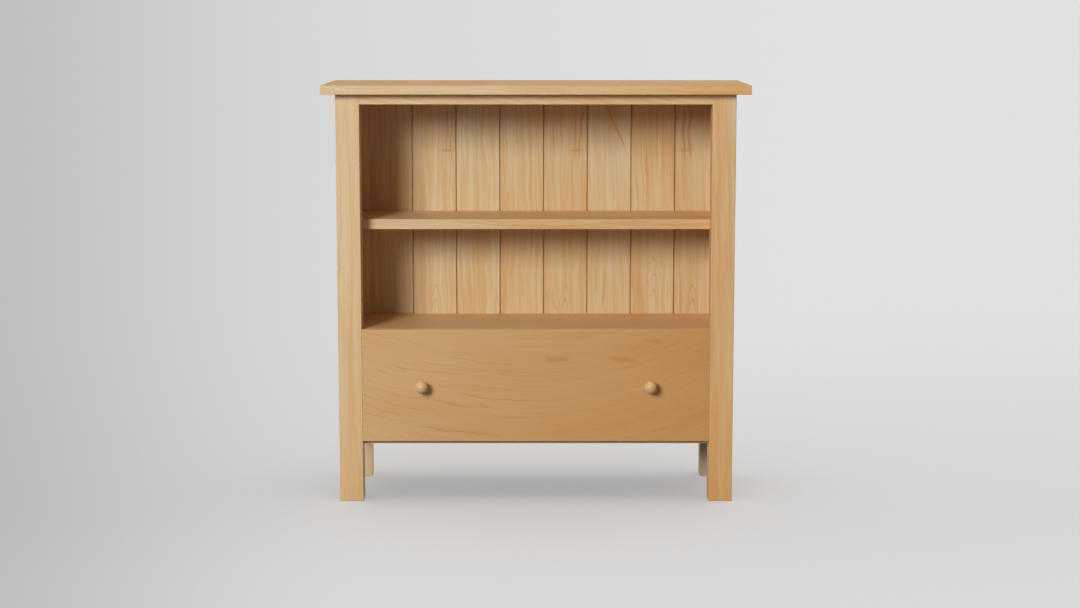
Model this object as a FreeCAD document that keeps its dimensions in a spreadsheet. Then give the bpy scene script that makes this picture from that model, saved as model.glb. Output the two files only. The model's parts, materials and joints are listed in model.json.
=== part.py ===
"""Low bookcase in solid maple: two open compartments over one full-width drawer.

Millimetres. +Z is up and the front looks towards -Y. The origin lies on the floor under the
middle of the top board, which is the bottom centre of the whole box.

The case is four square legs joined by tenoned rails, with side panels tongued into the legs and
a back of tongued and grooved planks. The drawer is a dovetailed box with an applied front. It
runs on a pair of three-member telescopic slides.
"""
import FreeCAD, Part
import math
import os
import re

import Sketcher

# Driving dimensions: name, value, meaning.
SIZES = (
    ("top_width", 914, "top board, side to side"),
    ("top_depth", 328, "top board, front to back"),
    ("top_thick", 19.5, "top board"),
    ("top_overhang", 29, "top board past the legs, at the sides and the front"),
    ("whole_height", 906, "floor to the face of the top board"),
    ("leg_side", 51, "square legs"),
    ("foot_chamfer", 1, "round the foot of each leg"),
    ("edge_round", 1.2, "eased long edges of legs, top board and rails"),
    ("shelf_thick", 22, "both shelves and the front top rail"),
    ("shelf_round", 1.5, "front edges of the middle shelf"),
    ("shelf_play", 1, "round the middle shelf, which lifts out"),
    ("case_underside", 125, "floor to the underside of the side panels and bottom rails"),
    ("bottom_rail_thick", 19, "front bottom rail"),
    ("back_rail_thick", 16, "upright rails behind the planks"),
    ("back_rail_height", 70, "upright rails behind the planks"),
    ("tenon_long", 25, "tenons of the rails in the legs"),
    ("tenon_cheek", 5, "shoulder of a tenon, across the thickness of its rail"),
    ("tenon_edge", 8, "shoulder of a tenon, across the width of its rail"),
    ("panel_thick", 19, "side panels"),
    ("panel_reveal", 8, "side panels inside the outer faces of the legs"),
    ("panel_tongue", 8, "tongues of the side panels, in the legs"),
    ("panel_tongue_thick", 6, "tongues of the side panels, in the legs"),
    ("dado_depth", 6, "lower shelf housed in the side panels"),
    ("plank_count", 8, "planks of the back"),
    ("last_plank_width", 63.8, "the plank that is ripped to what is left"),
    ("plank_thick", 14, "planks of the back"),
    ("plank_gap", 3, "open joint between the faces of two planks"),
    ("plank_tongue", 7, "tongues of the planks"),
    ("plank_tongue_thick", 5, "tongues of the planks"),
    ("plank_tongue_setback", 5, "tongues of the planks behind the plank faces"),
    ("plank_round", 0.8, "long face edges of the planks"),
    ("lower_opening", 213, "height of the lower compartment"),
    ("fit", 0.1, "clearance all round tenons, tongues and housed boards"),
    ("hole_fit", 0.1, "clearance of a screw in its hole, on the radius"),
    ("drawer_bottom", 135, "floor to the lower edge of the drawer front"),
    ("drawer_front_height", 244, "drawer front, its upper edge level with the lower shelf"),
    ("drawer_front_thick", 19, "drawer front"),
    ("drawer_front_round", 1.6, "face edges of the drawer front"),
    ("drawer_gap", 2, "drawer front to each leg"),
    ("stop_gap", 0.6, "back of the drawer front to the case when it is shut"),
    ("box_depth", 212, "drawer box, front to back"),
    ("box_height", 190, "drawer box"),
    ("box_thick", 12, "sides, front and back of the drawer box"),
    ("box_rise", 8, "drawer box above the bottom rail"),
    ("box_bottom_thick", 6, "drawer bottom"),
    ("box_bottom_rise", 10, "drawer bottom above the lower edges of the box"),
    ("box_groove", 6, "depth of the grooves for the drawer bottom"),
    ("tail_count", 5, "dovetails at each corner"),
    ("pin_tip", 6, "narrow side of the pins between the dovetails"),
    ("pin_root", 10, "wide side of the pins between the dovetails"),
    ("slide_length", 200, "each member of the telescopic slides"),
    ("slide_thick", 12.7, "slide from the leg to the drawer box"),
    ("slide_height", 45.2, "case member of a slide"),
    ("slide_steel", 1.2, "sheet of the slide members"),
    ("slide_race", 3.4, "room for a ball between two members"),
    ("slide_lip", 0.8, "turned lips that keep the balls in"),
    ("case_member_reach", 9, "flanges of the case member"),
    ("middle_member_start", 3.4, "web of the middle member, from the leg"),
    ("middle_member_reach", 11, "flanges of the middle member, from the leg"),
    ("drawer_member_start", 6.4, "flanges of the drawer member, from the leg"),
    ("slide_lap", 8, "front end of the slide ahead of the inside of the box front"),
    ("slide_rise", 80, "middle of the slide above the lower edge of the drawer box"),
    ("slide_screw_front", 12, "first screw behind the front end of the slide"),
    ("slide_screw_rear", 185, "second screw behind the front end of the slide"),
    ("slide_window_high", 14, "screwdriver window in the middle member"),
    ("slide_window_long", 18, "screwdriver window in the middle member"),
    ("slide_cleat_height", 60, "packing cleat behind each slide, glued to the side panel"),
    ("top_cleat_side", 22, "square cleats under the top board, glued to the side panels"),
    ("top_screw_inset", 60, "screws into the top board, from the ends of a cleat"),
    ("rail_screw_spread", 280, "outer screws of the front top rail from its middle"),
    ("knob_spread", 247.5, "knobs from the middle of the drawer"),
    ("knob_ball", 27.5, "diameter of the ball of a knob"),
    ("knob_projection", 37, "knob in front of the drawer front"),
    ("knob_neck", 12, "diameter of the neck of a knob"),
    ("knob_bore", 20, "depth of the screw hole in a knob"),
    ("front_screw_spread", 310, "screws into the drawer front from its middle"),
    ("front_screw_inset", 40, "screws into the drawer front from the edges of the box"),
    ("screw_point", 3, "tapered end of each wood screw"),
    ("screw_tip", 0.3, "radius at the very end of a wood screw"),
    ("head_slope", 1.2, "top of a screw's head inside its rim"),
    ("wood_screw_shank", 2, "radius, screws of the top board and the drawer front"),
    ("wood_screw_head", 4, "radius, screws of the top board and the drawer front"),
    ("wood_screw_head_high", 2.4, "screws of the top board and the drawer front"),
    ("wood_screw_seat", 3.5, "depth of the counterbores under the top board"),
    ("top_screw_length", 30, "screws of the top board, under the head"),
    ("front_screw_length", 25, "screws of the drawer front, under the head"),
    ("nail_side", 1.8, "square shanks of the nails of the planks"),
    ("nail_head", 3.6, "side of their square heads"),
    ("nail_head_high", 1, "their heads, on the back rails"),
    ("nail_length", 25, "these nails, under the head"),
    ("slide_screw_shank", 1.75, "radius, screws of the slides"),
    ("slide_screw_head", 3.5, "radius, screws of the slides"),
    ("slide_screw_head_high", 1.6, "screws of the slides"),
    ("slide_screw_length", 11, "screws of the slides, under the head"),
    ("knob_screw_shank", 2, "radius, screws of the knobs"),
    ("knob_screw_head", 4.5, "radius, screws of the knobs"),
    ("knob_screw_head_high", 2.6, "screws of the knobs"),
    ("knob_screw_length", 45, "screws of the knobs, under the head"),
    ("pin_radius", 2.5, "shelf pins"),
    ("pin_depth", 9, "shelf pins in the side panels"),
    ("pin_plate_thick", 3, "plate of a shelf pin, under the shelf"),
    ("pin_plate_reach", 11, "plate of a shelf pin, from the side panel"),
    ("pin_plate_width", 16, "plate of a shelf pin"),
    ("pin_inset", 35, "columns of pin holes from the edges of a side panel"),
    ("pin_pitch", 32, "from one pin hole to the next"),
    ("pin_rows", 5, "pin holes in a column; the shelf rests in the middle one"),
)

# Places that follow from the sizes, in the frame of the whole object.
LAYOUT = (
    ("leg_out", "top_width / 2 - top_overhang"),
    ("leg_in", "leg_out - leg_side"),
    ("leg_mid", "leg_out - leg_side / 2"),
    ("leg_height", "whole_height - top_thick"),
    ("case_front", "top_overhang - top_depth / 2"),
    ("case_back", "top_depth / 2"),
    ("bay_front", "case_front + leg_side"),
    ("bay_back", "case_back - leg_side"),
    ("bay_depth", "bay_back - bay_front"),
    ("panel_mid", "leg_out - panel_reveal - panel_thick / 2"),
    ("panel_in", "leg_out - panel_reveal - panel_thick"),
    ("panel_height", "leg_height - case_underside"),
    ("drawer_top", "drawer_bottom + drawer_front_height"),
    ("inner_front", "case_front + drawer_front_thick + stop_gap"),
    ("lower_shelf_z", "drawer_top - shelf_thick"),
    ("middle_shelf_z", "drawer_top + lower_opening"),
    ("top_rail_z", "leg_height - shelf_thick"),
    ("bottom_rail_depth", "bay_front - inner_front"),
    ("back_rail_y", "bay_back + plank_thick"),
    ("back_rail_top_z", "leg_height - back_rail_height"),
    ("back_rail_middle_z", "middle_shelf_z + shelf_thick / 2 - back_rail_height / 2"),
    ("plank_pitch", "(2 * leg_in - last_plank_width) / (plank_count - 1)"),
    ("box_front", "case_front + drawer_front_thick"),
    ("box_z", "case_underside + bottom_rail_thick + box_rise"),
    ("box_out", "leg_in - slide_thick"),
    ("box_in", "box_out - box_thick"),
    ("box_mid", "box_out - box_thick / 2"),
    ("tail_pitch", "box_height / tail_count"),
    ("slide_setback", "box_thick - slide_lap"),
    ("slide_front", "box_front + slide_setback"),
    ("slide_z", "box_z + slide_rise"),
    ("middle_member_half", "slide_height / 2 - slide_steel - slide_race"),
    ("drawer_member_half", "middle_member_half - slide_steel - slide_race"),
    ("top_cleat_mid", "panel_in - top_cleat_side / 2"),
    ("top_cleat_z", "leg_height - top_cleat_side"),
    ("slide_cleat_thick", "panel_in - leg_in"),
    ("slide_cleat_mid", "(panel_in + leg_in) / 2"),
    ("knob_z", "drawer_bottom + drawer_front_height / 2"),
    ("pin_z", "middle_shelf_z - pin_radius"),
    ("wood_hole", "wood_screw_shank + hole_fit"),
    ("nail_hole", "nail_side / 2 + hole_fit"),
    ("slide_hole", "slide_screw_shank + hole_fit"),
    ("knob_hole", "knob_screw_shank + hole_fit"),
    ("pin_hole", "pin_radius + hole_fit"),
    ("head_hole", "wood_screw_head + 4 * hole_fit"),
)

# Rails between the legs: name, the legs they join, front face, underside, depth and height.
RAILS = (
    ("top_rail_front", "front", "case_front", "top_rail_z", "leg_side", "shelf_thick"),
    ("bottom_rail_front", "front", "inner_front", "case_underside",
     "bottom_rail_depth", "bottom_rail_thick"),
    ("back_rail_top", "rear", "back_rail_y", "back_rail_top_z",
     "back_rail_thick", "back_rail_height"),
    ("back_rail_middle", "rear", "back_rail_y", "back_rail_middle_z",
     "back_rail_thick", "back_rail_height"),
    ("back_rail_bottom", "rear", "back_rail_y", "case_underside",
     "back_rail_thick", "back_rail_height"),
)
BACK_RAIL_HEIGHTS = ("back_rail_top_z", "back_rail_middle_z", "case_underside")
SLIDE_SCREWS = ("slide_screw_front", "slide_screw_rear")
SIDES = (("left", -1), ("right", 1))
UP = FreeCAD.Vector(0, 0, 1)
TINY = 1e-4

# Bores, screws and pegs are eight-sided, with corners in line with the axes, to keep faces few.
BORE_TURNS = tuple(range(0, 360, 45))

# Origin planes, and which way each one's normal points along its axis.
PLANES = {"XY": ("XY_Plane", 1), "XZ": ("XZ_Plane", -1), "YZ": ("YZ_Plane", 1)}
WORD = re.compile(r"[A-Za-z_]\w*")

document = FreeCAD.newDocument("LowBookcase")
sheet = document.addObject("Spreadsheet::Sheet", "Sizes")
layout = document.addObject("App::VarSet", "Layout")
homes = {}
nodes = []


def formula(text):
    """Write a formula for FreeCAD: each named size or place gets the name of its sheet."""
    return WORD.sub(lambda word: homes.get(word.group(), "") + word.group(), str(text))


def value(name):
    """Give the number that a size or a place has now."""
    return float(getattr(sheet if homes[name] == "Sizes." else layout, name))


def fill_sheets():
    """Write the driving dimensions as cells and the places as formulas on them."""
    for row, (name, number, meaning) in enumerate(SIZES, 1):
        sheet.set(f"A{row}", meaning)
        sheet.set(f"B{row}", str(number))
        sheet.setAlias(f"B{row}", name)
        homes[name] = "Sizes."
    document.recompute()
    for name, text in LAYOUT:
        layout.addProperty("App::PropertyFloat", name, "Places")
        homes[name] = "Layout."
        layout.setExpression(name, formula(text))
    document.recompute()


def new_body(name, x=0, y=0, z=0):
    """Start a sub-part whose own origin lies at x, y, z."""
    body = document.addObject("PartDesign::Body", name)
    body.Label = name
    for axis, text in zip("xyz", (x, y, z)):
        body.setExpression(f"Placement.Base.{axis}", formula(text))
    nodes.append(body)
    return body


def new_sketch(body, plane, start=0):
    """Put a sketch on an origin plane of the body, moved along that plane's axis to start."""
    role, facing = PLANES[plane]
    sketch = body.newObject("Sketcher::SketchObject", "Sketch")
    origin_planes = [item for item in body.Origin.OriginFeatures if item.Role == role]
    sketch.AttachmentSupport = (origin_planes[0], "")
    sketch.MapMode = "FlatFace"
    sketch.setExpression("AttachmentOffset.Base.z", formula(f"{facing} * ({start})"))
    return sketch


def bind(sketch, kind, text, *where):
    """Add a constraint whose value is a formula."""
    number = sketch.addConstraint(Sketcher.Constraint(kind, *where, 1.0))
    sketch.setExpression(f"Constraints[{number}]", formula(text))


def fix_point(sketch, index, end, across, up):
    """Tie one end of an edge to its distances from the origin of the sketch."""
    bind(sketch, "DistanceX", across, -1, 1, index, end)
    bind(sketch, "DistanceY", up, -1, 1, index, end)


def draw_polygon(sketch, corners):
    """Draw a closed outline through corners, each a pair of formulas."""
    first = sketch.GeometryCount
    count = len(corners)
    turns = [2 * math.pi * index / count for index in range(count)]
    points = [FreeCAD.Vector(math.cos(turn), math.sin(turn), 0) for turn in turns]
    for index in range(count):
        sketch.addGeometry(Part.LineSegment(points[index], points[(index + 1) % count]), False)
    for index in range(count):
        following = first + (index + 1) % count
        sketch.addConstraint(Sketcher.Constraint("Coincident", first + index, 2, following, 1))
    for index, (across, up) in enumerate(corners):
        fix_point(sketch, first + index, 1, across, up)


def box_corners(low_x, low_y, high_x, high_y):
    """Corners of a rectangle between two opposite corners."""
    return [(low_x, low_y), (high_x, low_y), (high_x, high_y), (low_x, high_y)]


def square_corners(across, up, half):
    """Corners of a square round its centre."""
    return box_corners(f"{across} - {half}", f"{up} - {half}",
                       f"{across} + {half}", f"{up} + {half}")


def bore_corners(across, up, radius):
    """Corners of a bore round its centre."""
    return [(f"{across} + ({radius}) * cos({turn} deg)", f"{up} + ({radius}) * sin({turn} deg)")
            for turn in BORE_TURNS]


def extrude(body, kind, plane, start, length, polygons):
    """Pad or pocket outlines from start along the positive axis of the plane's normal."""
    sketch = new_sketch(body, plane, start)
    for corners in polygons:
        draw_polygon(sketch, corners)
    feature = body.newObject(f"PartDesign::{kind}", kind)
    feature.Profile = sketch
    feature.setExpression("Length", formula(length))
    feature.Reversed = (kind == "Pocket") == (PLANES[plane][1] > 0)
    sketch.Visibility = False
    return feature


def pad(body, plane, start, length, *polygons):
    """Add material."""
    return extrude(body, "Pad", plane, start, length, polygons)


def pocket(body, plane, start, length, *polygons):
    """Cut an outline away."""
    return extrude(body, "Pocket", plane, start, length, polygons)


def drill(body, plane, start, length, centres, radius):
    """Cut bores with the same radius."""
    return pocket(body, plane, start, length,
                  *[bore_corners(across, up, radius) for across, up in centres])


def drill_from(body, side, plane, face, depth, centres, radius):
    """Drill from a face towards the outside of the object on the given side (-1 or 1)."""
    start = face if side > 0 else f"{face} - ({depth})"
    return drill(body, plane, start, depth, centres, radius)


def ease(body, radius, picked, kind="Fillet"):
    """Round or chamfer the edges whose bounding boxes are picked."""
    document.recompute()
    base = body.Tip
    names = [f"Edge{number}" for number, edge in enumerate(base.Shape.Edges, 1)
             if picked(edge.BoundBox)]
    feature = body.newObject(f"PartDesign::{kind}", kind)
    feature.Base = (base, names)
    feature.setExpression("Radius" if kind == "Fillet" else "Size", formula(radius))


def repeat(body, features, axis, pitch, count):
    """Repeat features along an axis of the body."""
    pattern = body.newObject("PartDesign::LinearPattern", "LinearPattern")
    pattern.Originals = features
    axes = [item for item in body.Origin.OriginFeatures if item.Role == f"{axis}_Axis"]
    pattern.Direction = (axes[0], [""])
    pattern.setExpression("Length", formula(f"({pitch}) * ({count} - 1)"))
    pattern.setExpression("Occurrences", formula(count))
    body.Tip = pattern


def make_legs():
    """Four square legs, grooved for the panels and planks and mortised for the rails."""
    for side_name, side in SIDES:
        for end_name, along in (("front", 1), ("rear", -1)):
            y_mid = "case_front + leg_side / 2" if along > 0 else "case_back - leg_side / 2"
            leg = new_body(f"leg_{end_name}_{side_name}", f"{side} * leg_mid", y_mid)
            half = "leg_side / 2"
            pad(leg, "XY", 0, "leg_height", box_corners(f"-{half}", f"-{half}", half, half))
            ease(leg, "edge_round", lambda box: box.ZLength > 1)
            ease(leg, "foot_chamfer", lambda box: box.ZMax < TINY, "Chamfer")
            cut_panel_groove(leg, side, along)
            for _, joined, rail_y, rail_z, depth, height in RAILS:
                if joined == end_name:
                    cut_mortise(leg, side, f"{rail_y} - ({y_mid})", rail_z, depth, height)
            if end_name == "rear":
                cut_plank_groove(leg, side)
            else:
                place = (f"slide_front + slide_screw_front - ({y_mid})", "slide_z")
                face = f"{-side} * leg_side / 2"
                drill_from(leg, side, "YZ", face, "slide_screw_length", [place], "slide_hole")


def cut_panel_groove(leg, side, along):
    """Groove in the face that looks at the other leg of the same side."""
    middle = f"{side} * (panel_mid - leg_mid)"
    half = "(panel_tongue_thick / 2 + fit)"
    floor = f"{along} * (leg_side / 2 - panel_tongue)"
    face = f"{along} * leg_side / 2"
    outline = box_corners(f"{middle} - {half}", floor, f"{middle} + {half}", face)
    pocket(leg, "XY", "case_underside", "panel_height", outline)


def cut_mortise(leg, side, front, under, depth, height):
    """Mortise for the tenon of a rail, open at the inner face of the leg."""
    y_low, z_low, y_high, z_high = tenon_section(depth, height, "fit")
    inner = f"{-side} * leg_side / 2"
    outline = box_corners(inner, f"{front} + {y_low}",
                          f"{inner} + {side} * (tenon_long + fit)", f"{front} + {y_high}")
    pocket(leg, "XY", f"{under} + {z_low}", f"{z_high} - {z_low}", outline)


def cut_plank_groove(leg, side):
    """Groove for the tongue of the outermost plank."""
    inner = f"{-side} * leg_side / 2"
    front = "-leg_side / 2 + plank_tongue_setback"
    outline = box_corners(inner, f"{front} - fit", f"{inner} + {side} * (plank_tongue + fit)",
                          f"{front} + plank_tongue_thick + fit")
    pocket(leg, "XY", "case_underside", "panel_height", outline)


def tenon_section(depth, height, clearance="0"):
    """Low and high sides of a tenon across its rail; the thinner way has the smaller shoulder."""
    lies_flat = value(depth) > value(height)
    y_inset, z_inset = ("tenon_edge", "tenon_cheek") if lies_flat else ("tenon_cheek", "tenon_edge")
    return (f"({y_inset} - {clearance})", f"({z_inset} - {clearance})",
            f"({depth} - {y_inset} + {clearance})", f"({height} - {z_inset} + {clearance})")


def make_rails():
    """Rails between the legs, each with a tenon at both ends."""
    for name, joined, rail_y, rail_z, depth, height in RAILS:
        rail = new_body(name, 0, rail_y, rail_z)
        pad(rail, "YZ", "-leg_in", "2 * leg_in", box_corners(0, 0, depth, height))
        if joined == "front":
            ease(rail, "edge_round", lambda box: box.XLength > 1 and box.YMax < TINY)
        tenon = "(leg_in + tenon_long)"
        pad(rail, "YZ", f"-{tenon}", f"2 * {tenon}", box_corners(*tenon_section(depth, height)))
        if name == "top_rail_front":
            drill_for_top(rail, [(spot, f"{depth} / 2") for spot in rail_screw_spots()], height)
        if joined == "rear":
            pocket(rail, "XZ", 0, depth,
                   *[square_corners(plank_middle(index), f"{height} / 2", "nail_hole")
                     for index in plank_numbers()])


def drill_for_top(body, centres, height):
    """Holes from below for screws into the top board, with counterbores for their heads."""
    drill(body, "XY", 0, height, centres, "wood_hole")
    drill(body, "XY", 0, "wood_screw_seat", centres, "head_hole")


def rail_screw_spots():
    """Places of the screws along the front top rail."""
    return ["-rail_screw_spread", "0", "rail_screw_spread"]


def make_top_board():
    """Top board with eased edges, and pilot holes from below."""
    board = new_body("top_board", 0, 0, "leg_height")
    outline = box_corners("-top_width / 2", "-top_depth / 2", "top_width / 2", "top_depth / 2")
    pad(board, "XY", 0, "top_thick", outline)
    ease(board, "edge_round", lambda box: True)
    over_rail = [(spot, "case_front + leg_side / 2") for spot in rail_screw_spots()]
    over_cleats = [(f"{side} * top_cleat_mid", f"bay_front + {spot}")
                   for _, side in SIDES for spot in top_screw_spots()]
    for centres, passed in ((over_rail, "shelf_thick"), (over_cleats, "top_cleat_side")):
        depth = f"top_screw_length - ({passed} - wood_screw_seat)"
        drill(board, "XY", 0, depth, centres, "wood_hole")


def top_screw_spots():
    """Places of the screws into the top board along a top cleat."""
    return ["top_screw_inset", "(bay_depth - top_screw_inset)"]


def make_side_panels():
    """Side panels with tongues for the legs, a housing for the shelf and rows of pin holes."""
    for side_name, side in SIDES:
        panel = new_body(f"side_panel_{side_name}", f"{side} * panel_mid",
                         "bay_front", "case_underside")
        half = "panel_thick / 2"
        pad(panel, "XY", 0, "panel_height", box_corners(f"-{half}", 0, half, "bay_depth"))
        tongue = "panel_tongue_thick / 2"
        pad(panel, "XY", 0, "panel_height",
            box_corners(f"-{tongue}", "-(panel_tongue - fit)",
                        tongue, "bay_depth + panel_tongue - fit"))
        inner = f"{-side} * {half}"
        housing = box_corners(inner, 0, f"{inner} + {side} * dado_depth", "bay_depth")
        pocket(panel, "XY", "lower_shelf_z - case_underside - fit", "shelf_thick + 2 * fit", housing)
        bores = [(spot, "pin_z - case_underside - pin_pitch * (pin_rows - 1) / 2")
                 for spot in ("pin_inset", "bay_depth - pin_inset")]
        lowest = drill_from(panel, side, "YZ", inner, "pin_depth + fit", bores, "pin_hole")
        repeat(panel, [lowest], "Z", "pin_pitch", "pin_rows")


def make_cleats():
    """Cleats glued to the side panels: under the top board, and behind the slides."""
    for side_name, side in SIDES:
        half = "top_cleat_side / 2"
        cleat = new_body(f"top_cleat_{side_name}", f"{side} * top_cleat_mid",
                         "bay_front", "top_cleat_z")
        pad(cleat, "XY", 0, "top_cleat_side", box_corners(f"-{half}", 0, half, "bay_depth"))
        drill_for_top(cleat, [(0, spot) for spot in top_screw_spots()], "top_cleat_side")

        half = "slide_cleat_thick / 2"
        cleat = new_body(f"slide_cleat_{side_name}", f"{side} * slide_cleat_mid",
                         "bay_front", "slide_z")
        tall = "slide_cleat_height / 2"
        pad(cleat, "YZ", f"-{half}", f"2 * {half}", box_corners(0, f"-{tall}", "bay_depth", tall))
        screw = ("slide_front + slide_screw_rear - bay_front", 0)
        drill_from(cleat, side, "YZ", f"{-side} * {half}", "slide_screw_length", [screw],
                   "slide_hole")


def make_shelves():
    """Middle shelf, loose on its pins, and lower shelf, notched round the front legs."""
    middle = new_body("middle_shelf", 0, "bay_front + shelf_play", "middle_shelf_z")
    half = "(panel_in - shelf_play)"
    pad(middle, "XY", 0, "shelf_thick",
        box_corners(f"-{half}", 0, half, "bay_depth - 2 * shelf_play"))
    ease(middle, "shelf_round", lambda box: box.XLength > 1 and box.YMax < TINY)

    lower = new_body("lower_shelf", 0, 0, "lower_shelf_z")
    tongue = "(leg_in - fit)"
    wide = "(panel_in + dado_depth - fit)"
    outline = [(f"-{tongue}", "inner_front"), (tongue, "inner_front"),
               (tongue, "bay_front + fit"), (wide, "bay_front + fit"), (wide, "bay_back"),
               (f"-{wide}", "bay_back"), (f"-{wide}", "bay_front + fit"),
               (f"-{tongue}", "bay_front + fit")]
    pad(lower, "XY", 0, "shelf_thick", outline)


def plank_numbers():
    """Numbers of the planks, from the left."""
    return range(int(value("plank_count")))


def plank_width(index):
    """Width of a plank between the middles of its joints."""
    return "last_plank_width" if index == len(plank_numbers()) - 1 else "plank_pitch"


def plank_middle(index):
    """Middle of a plank from the middle of the case."""
    return f"(-leg_in + {index} * plank_pitch + {plank_width(index)} / 2)"


def make_planks():
    """Tongued and grooved planks with an open joint at their faces."""
    for index in plank_numbers():
        plank = new_body(f"back_plank_{index + 1}", f"-leg_in + {index} * plank_pitch",
                         "bay_back", "case_underside")
        width = plank_width(index)
        front, back = "plank_tongue_setback", "plank_tongue_setback + plank_tongue_thick"
        tongue = "(plank_tongue - fit)"
        left = [(0, "plank_thick"), (0, back), (f"-{tongue}", back), (f"-{tongue}", front),
                ("plank_gap / 2", front), ("plank_gap / 2", 0)]
        face = f"({width} - plank_gap / 2)"
        if index == len(plank_numbers()) - 1:
            right = [(face, 0), (face, front), (f"{width} + {tongue}", front),
                     (f"{width} + {tongue}", back), (width, back), (width, "plank_thick")]
        else:
            floor = f"({width} - plank_tongue)"
            edge = f"({width} - fit)"
            right = [(face, 0), (face, f"{front} - fit"), (floor, f"{front} - fit"),
                     (floor, f"{back} + fit"), (edge, f"{back} + fit"), (edge, "plank_thick")]
        pad(plank, "XY", 0, "panel_height", left + right)
        ease(plank, "plank_round", lambda box: box.ZLength > 1 and box.YMax < TINY)
        depth = "(nail_length - back_rail_thick)"
        heights = [f"{under} + back_rail_height / 2 - case_underside" for under in BACK_RAIL_HEIGHTS]
        pocket(plank, "XZ", f"plank_thick - {depth}", depth,
               *[square_corners(f"{width} / 2", height, "nail_hole") for height in heights])


def tail(tip, root, clearance="0"):
    """Outline of the lowest dovetail, wide at tip and narrow at root, across a corner joint."""
    return [(root, f"pin_root / 2 - {clearance}"), (tip, f"pin_tip / 2 - {clearance}"),
            (tip, f"tail_pitch - pin_tip / 2 + {clearance}"),
            (root, f"tail_pitch - pin_root / 2 + {clearance}")]


def make_drawer_sides():
    """Sides of the drawer box, with dovetails at both ends."""
    for side_name, side in SIDES:
        board = new_body(f"drawer_side_{side_name}", f"{side} * box_mid", "box_front", "box_z")
        half = "box_thick / 2"
        pad(board, "YZ", f"-{half}", "box_thick",
            box_corners("box_thick", 0, "box_depth - box_thick", "box_height"))
        tails = pad(board, "YZ", f"-{half}", "box_thick", tail(0, "box_thick"),
                    tail("box_depth", "box_depth - box_thick"))
        repeat(board, [tails], "Z", "tail_pitch", "tail_count")
        inner = f"{-side} * {half}"
        groove = box_corners(inner, "box_thick - box_groove",
                             f"{inner} + {side} * box_groove", "box_depth - box_thick + box_groove")
        cut_bottom_groove(board, groove)
        centres = [(f"slide_setback + {spot}", "slide_rise") for spot in SLIDE_SCREWS]
        depth = "(slide_screw_length - slide_steel)"
        start = f"{half} - {depth}" if side > 0 else f"-{half}"
        drill(board, "YZ", start, depth, centres, "slide_hole")


def cut_bottom_groove(board, outline):
    """Groove for the drawer bottom, which rests on its lower side."""
    pocket(board, "XY", "box_bottom_rise", "box_bottom_thick + 2 * fit", outline)


def make_drawer_ends():
    """Front and back of the drawer box, with sockets for the dovetails of the sides."""
    for name, y_place, tip, root in (("drawer_box_front", "box_front", "0", "box_thick"),
                                     ("drawer_box_back", "box_front + box_depth - box_thick",
                                      "box_thick", "0")):
        board = new_body(name, 0, y_place, "box_z")
        pad(board, "XY", 0, "box_height", box_corners("-box_out", 0, "box_out", "box_thick"))
        sockets = [pocket(board, "YZ", start, "box_thick", tail(tip, root, "fit"))
                   for start in ("-box_out", "box_in")]
        repeat(board, sockets, "Z", "tail_pitch", "tail_count")
        inner, floor = (root, f"{root} - box_groove") if root != "0" else ("0", "box_groove")
        long = "(box_in + box_groove)"
        cut_bottom_groove(board, box_corners(f"-{long}", floor, long, inner))
        if name == "drawer_box_front":
            drill(board, "XZ", 0, "box_thick", front_screw_places(), "wood_hole")
            centres = [(f"{side} * knob_spread", "knob_z - box_z") for _, side in SIDES]
            drill(board, "XZ", 0, "box_thick", centres, "knob_hole")


def front_screw_places():
    """Places of the screws into the drawer front, on the box front."""
    return [(f"{side} * front_screw_spread", height) for _, side in SIDES
            for height in ("front_screw_inset", "box_height - front_screw_inset")]


def make_drawer_bottom():
    """Thin bottom, held in the grooves of the box."""
    bottom = new_body("drawer_bottom", 0, "box_front", "box_z + box_bottom_rise")
    half = "(box_in + box_groove - fit)"
    pad(bottom, "XY", 0, "box_bottom_thick",
        box_corners(f"-{half}", "box_thick - box_groove + fit",
                    half, "box_depth - box_thick + box_groove - fit"))


def make_drawer_front():
    """Applied front, which fills the width between the legs."""
    front = new_body("drawer_front", 0, "case_front", "drawer_bottom")
    half = "(leg_in - drawer_gap)"
    pad(front, "XZ", 0, "drawer_front_thick",
        box_corners(f"-{half}", 0, half, "drawer_front_height"))
    ease(front, "drawer_front_round", lambda box: box.YMax < TINY)
    centres = [(f"{side} * knob_spread", "knob_z - drawer_bottom") for _, side in SIDES]
    drill(front, "XZ", 0, "drawer_front_thick", centres, "knob_hole")
    depth = "(front_screw_length - box_thick)"
    centres = [(across, f"{up} + box_z - drawer_bottom") for across, up in front_screw_places()]
    drill(front, "XZ", f"drawer_front_thick - {depth}", depth, centres, "wood_hole")


def make_knobs():
    """The pair of turned ball knobs, each with a short neck and a blind screw hole."""
    knobs = new_body("knobs", "-knob_spread", "case_front", "knob_z")
    knobs.AllowCompound = True
    sketch = new_sketch(knobs, "YZ")
    draw_knob_profile(sketch)
    turned = knobs.newObject("PartDesign::Revolution", "Revolution")
    turned.Profile = sketch
    turned.ReferenceAxis = (sketch, ["H_Axis"])
    turned.Angle = 360
    sketch.Visibility = False
    repeat(knobs, [turned], "X", "2 * knob_spread", 2)


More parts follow.
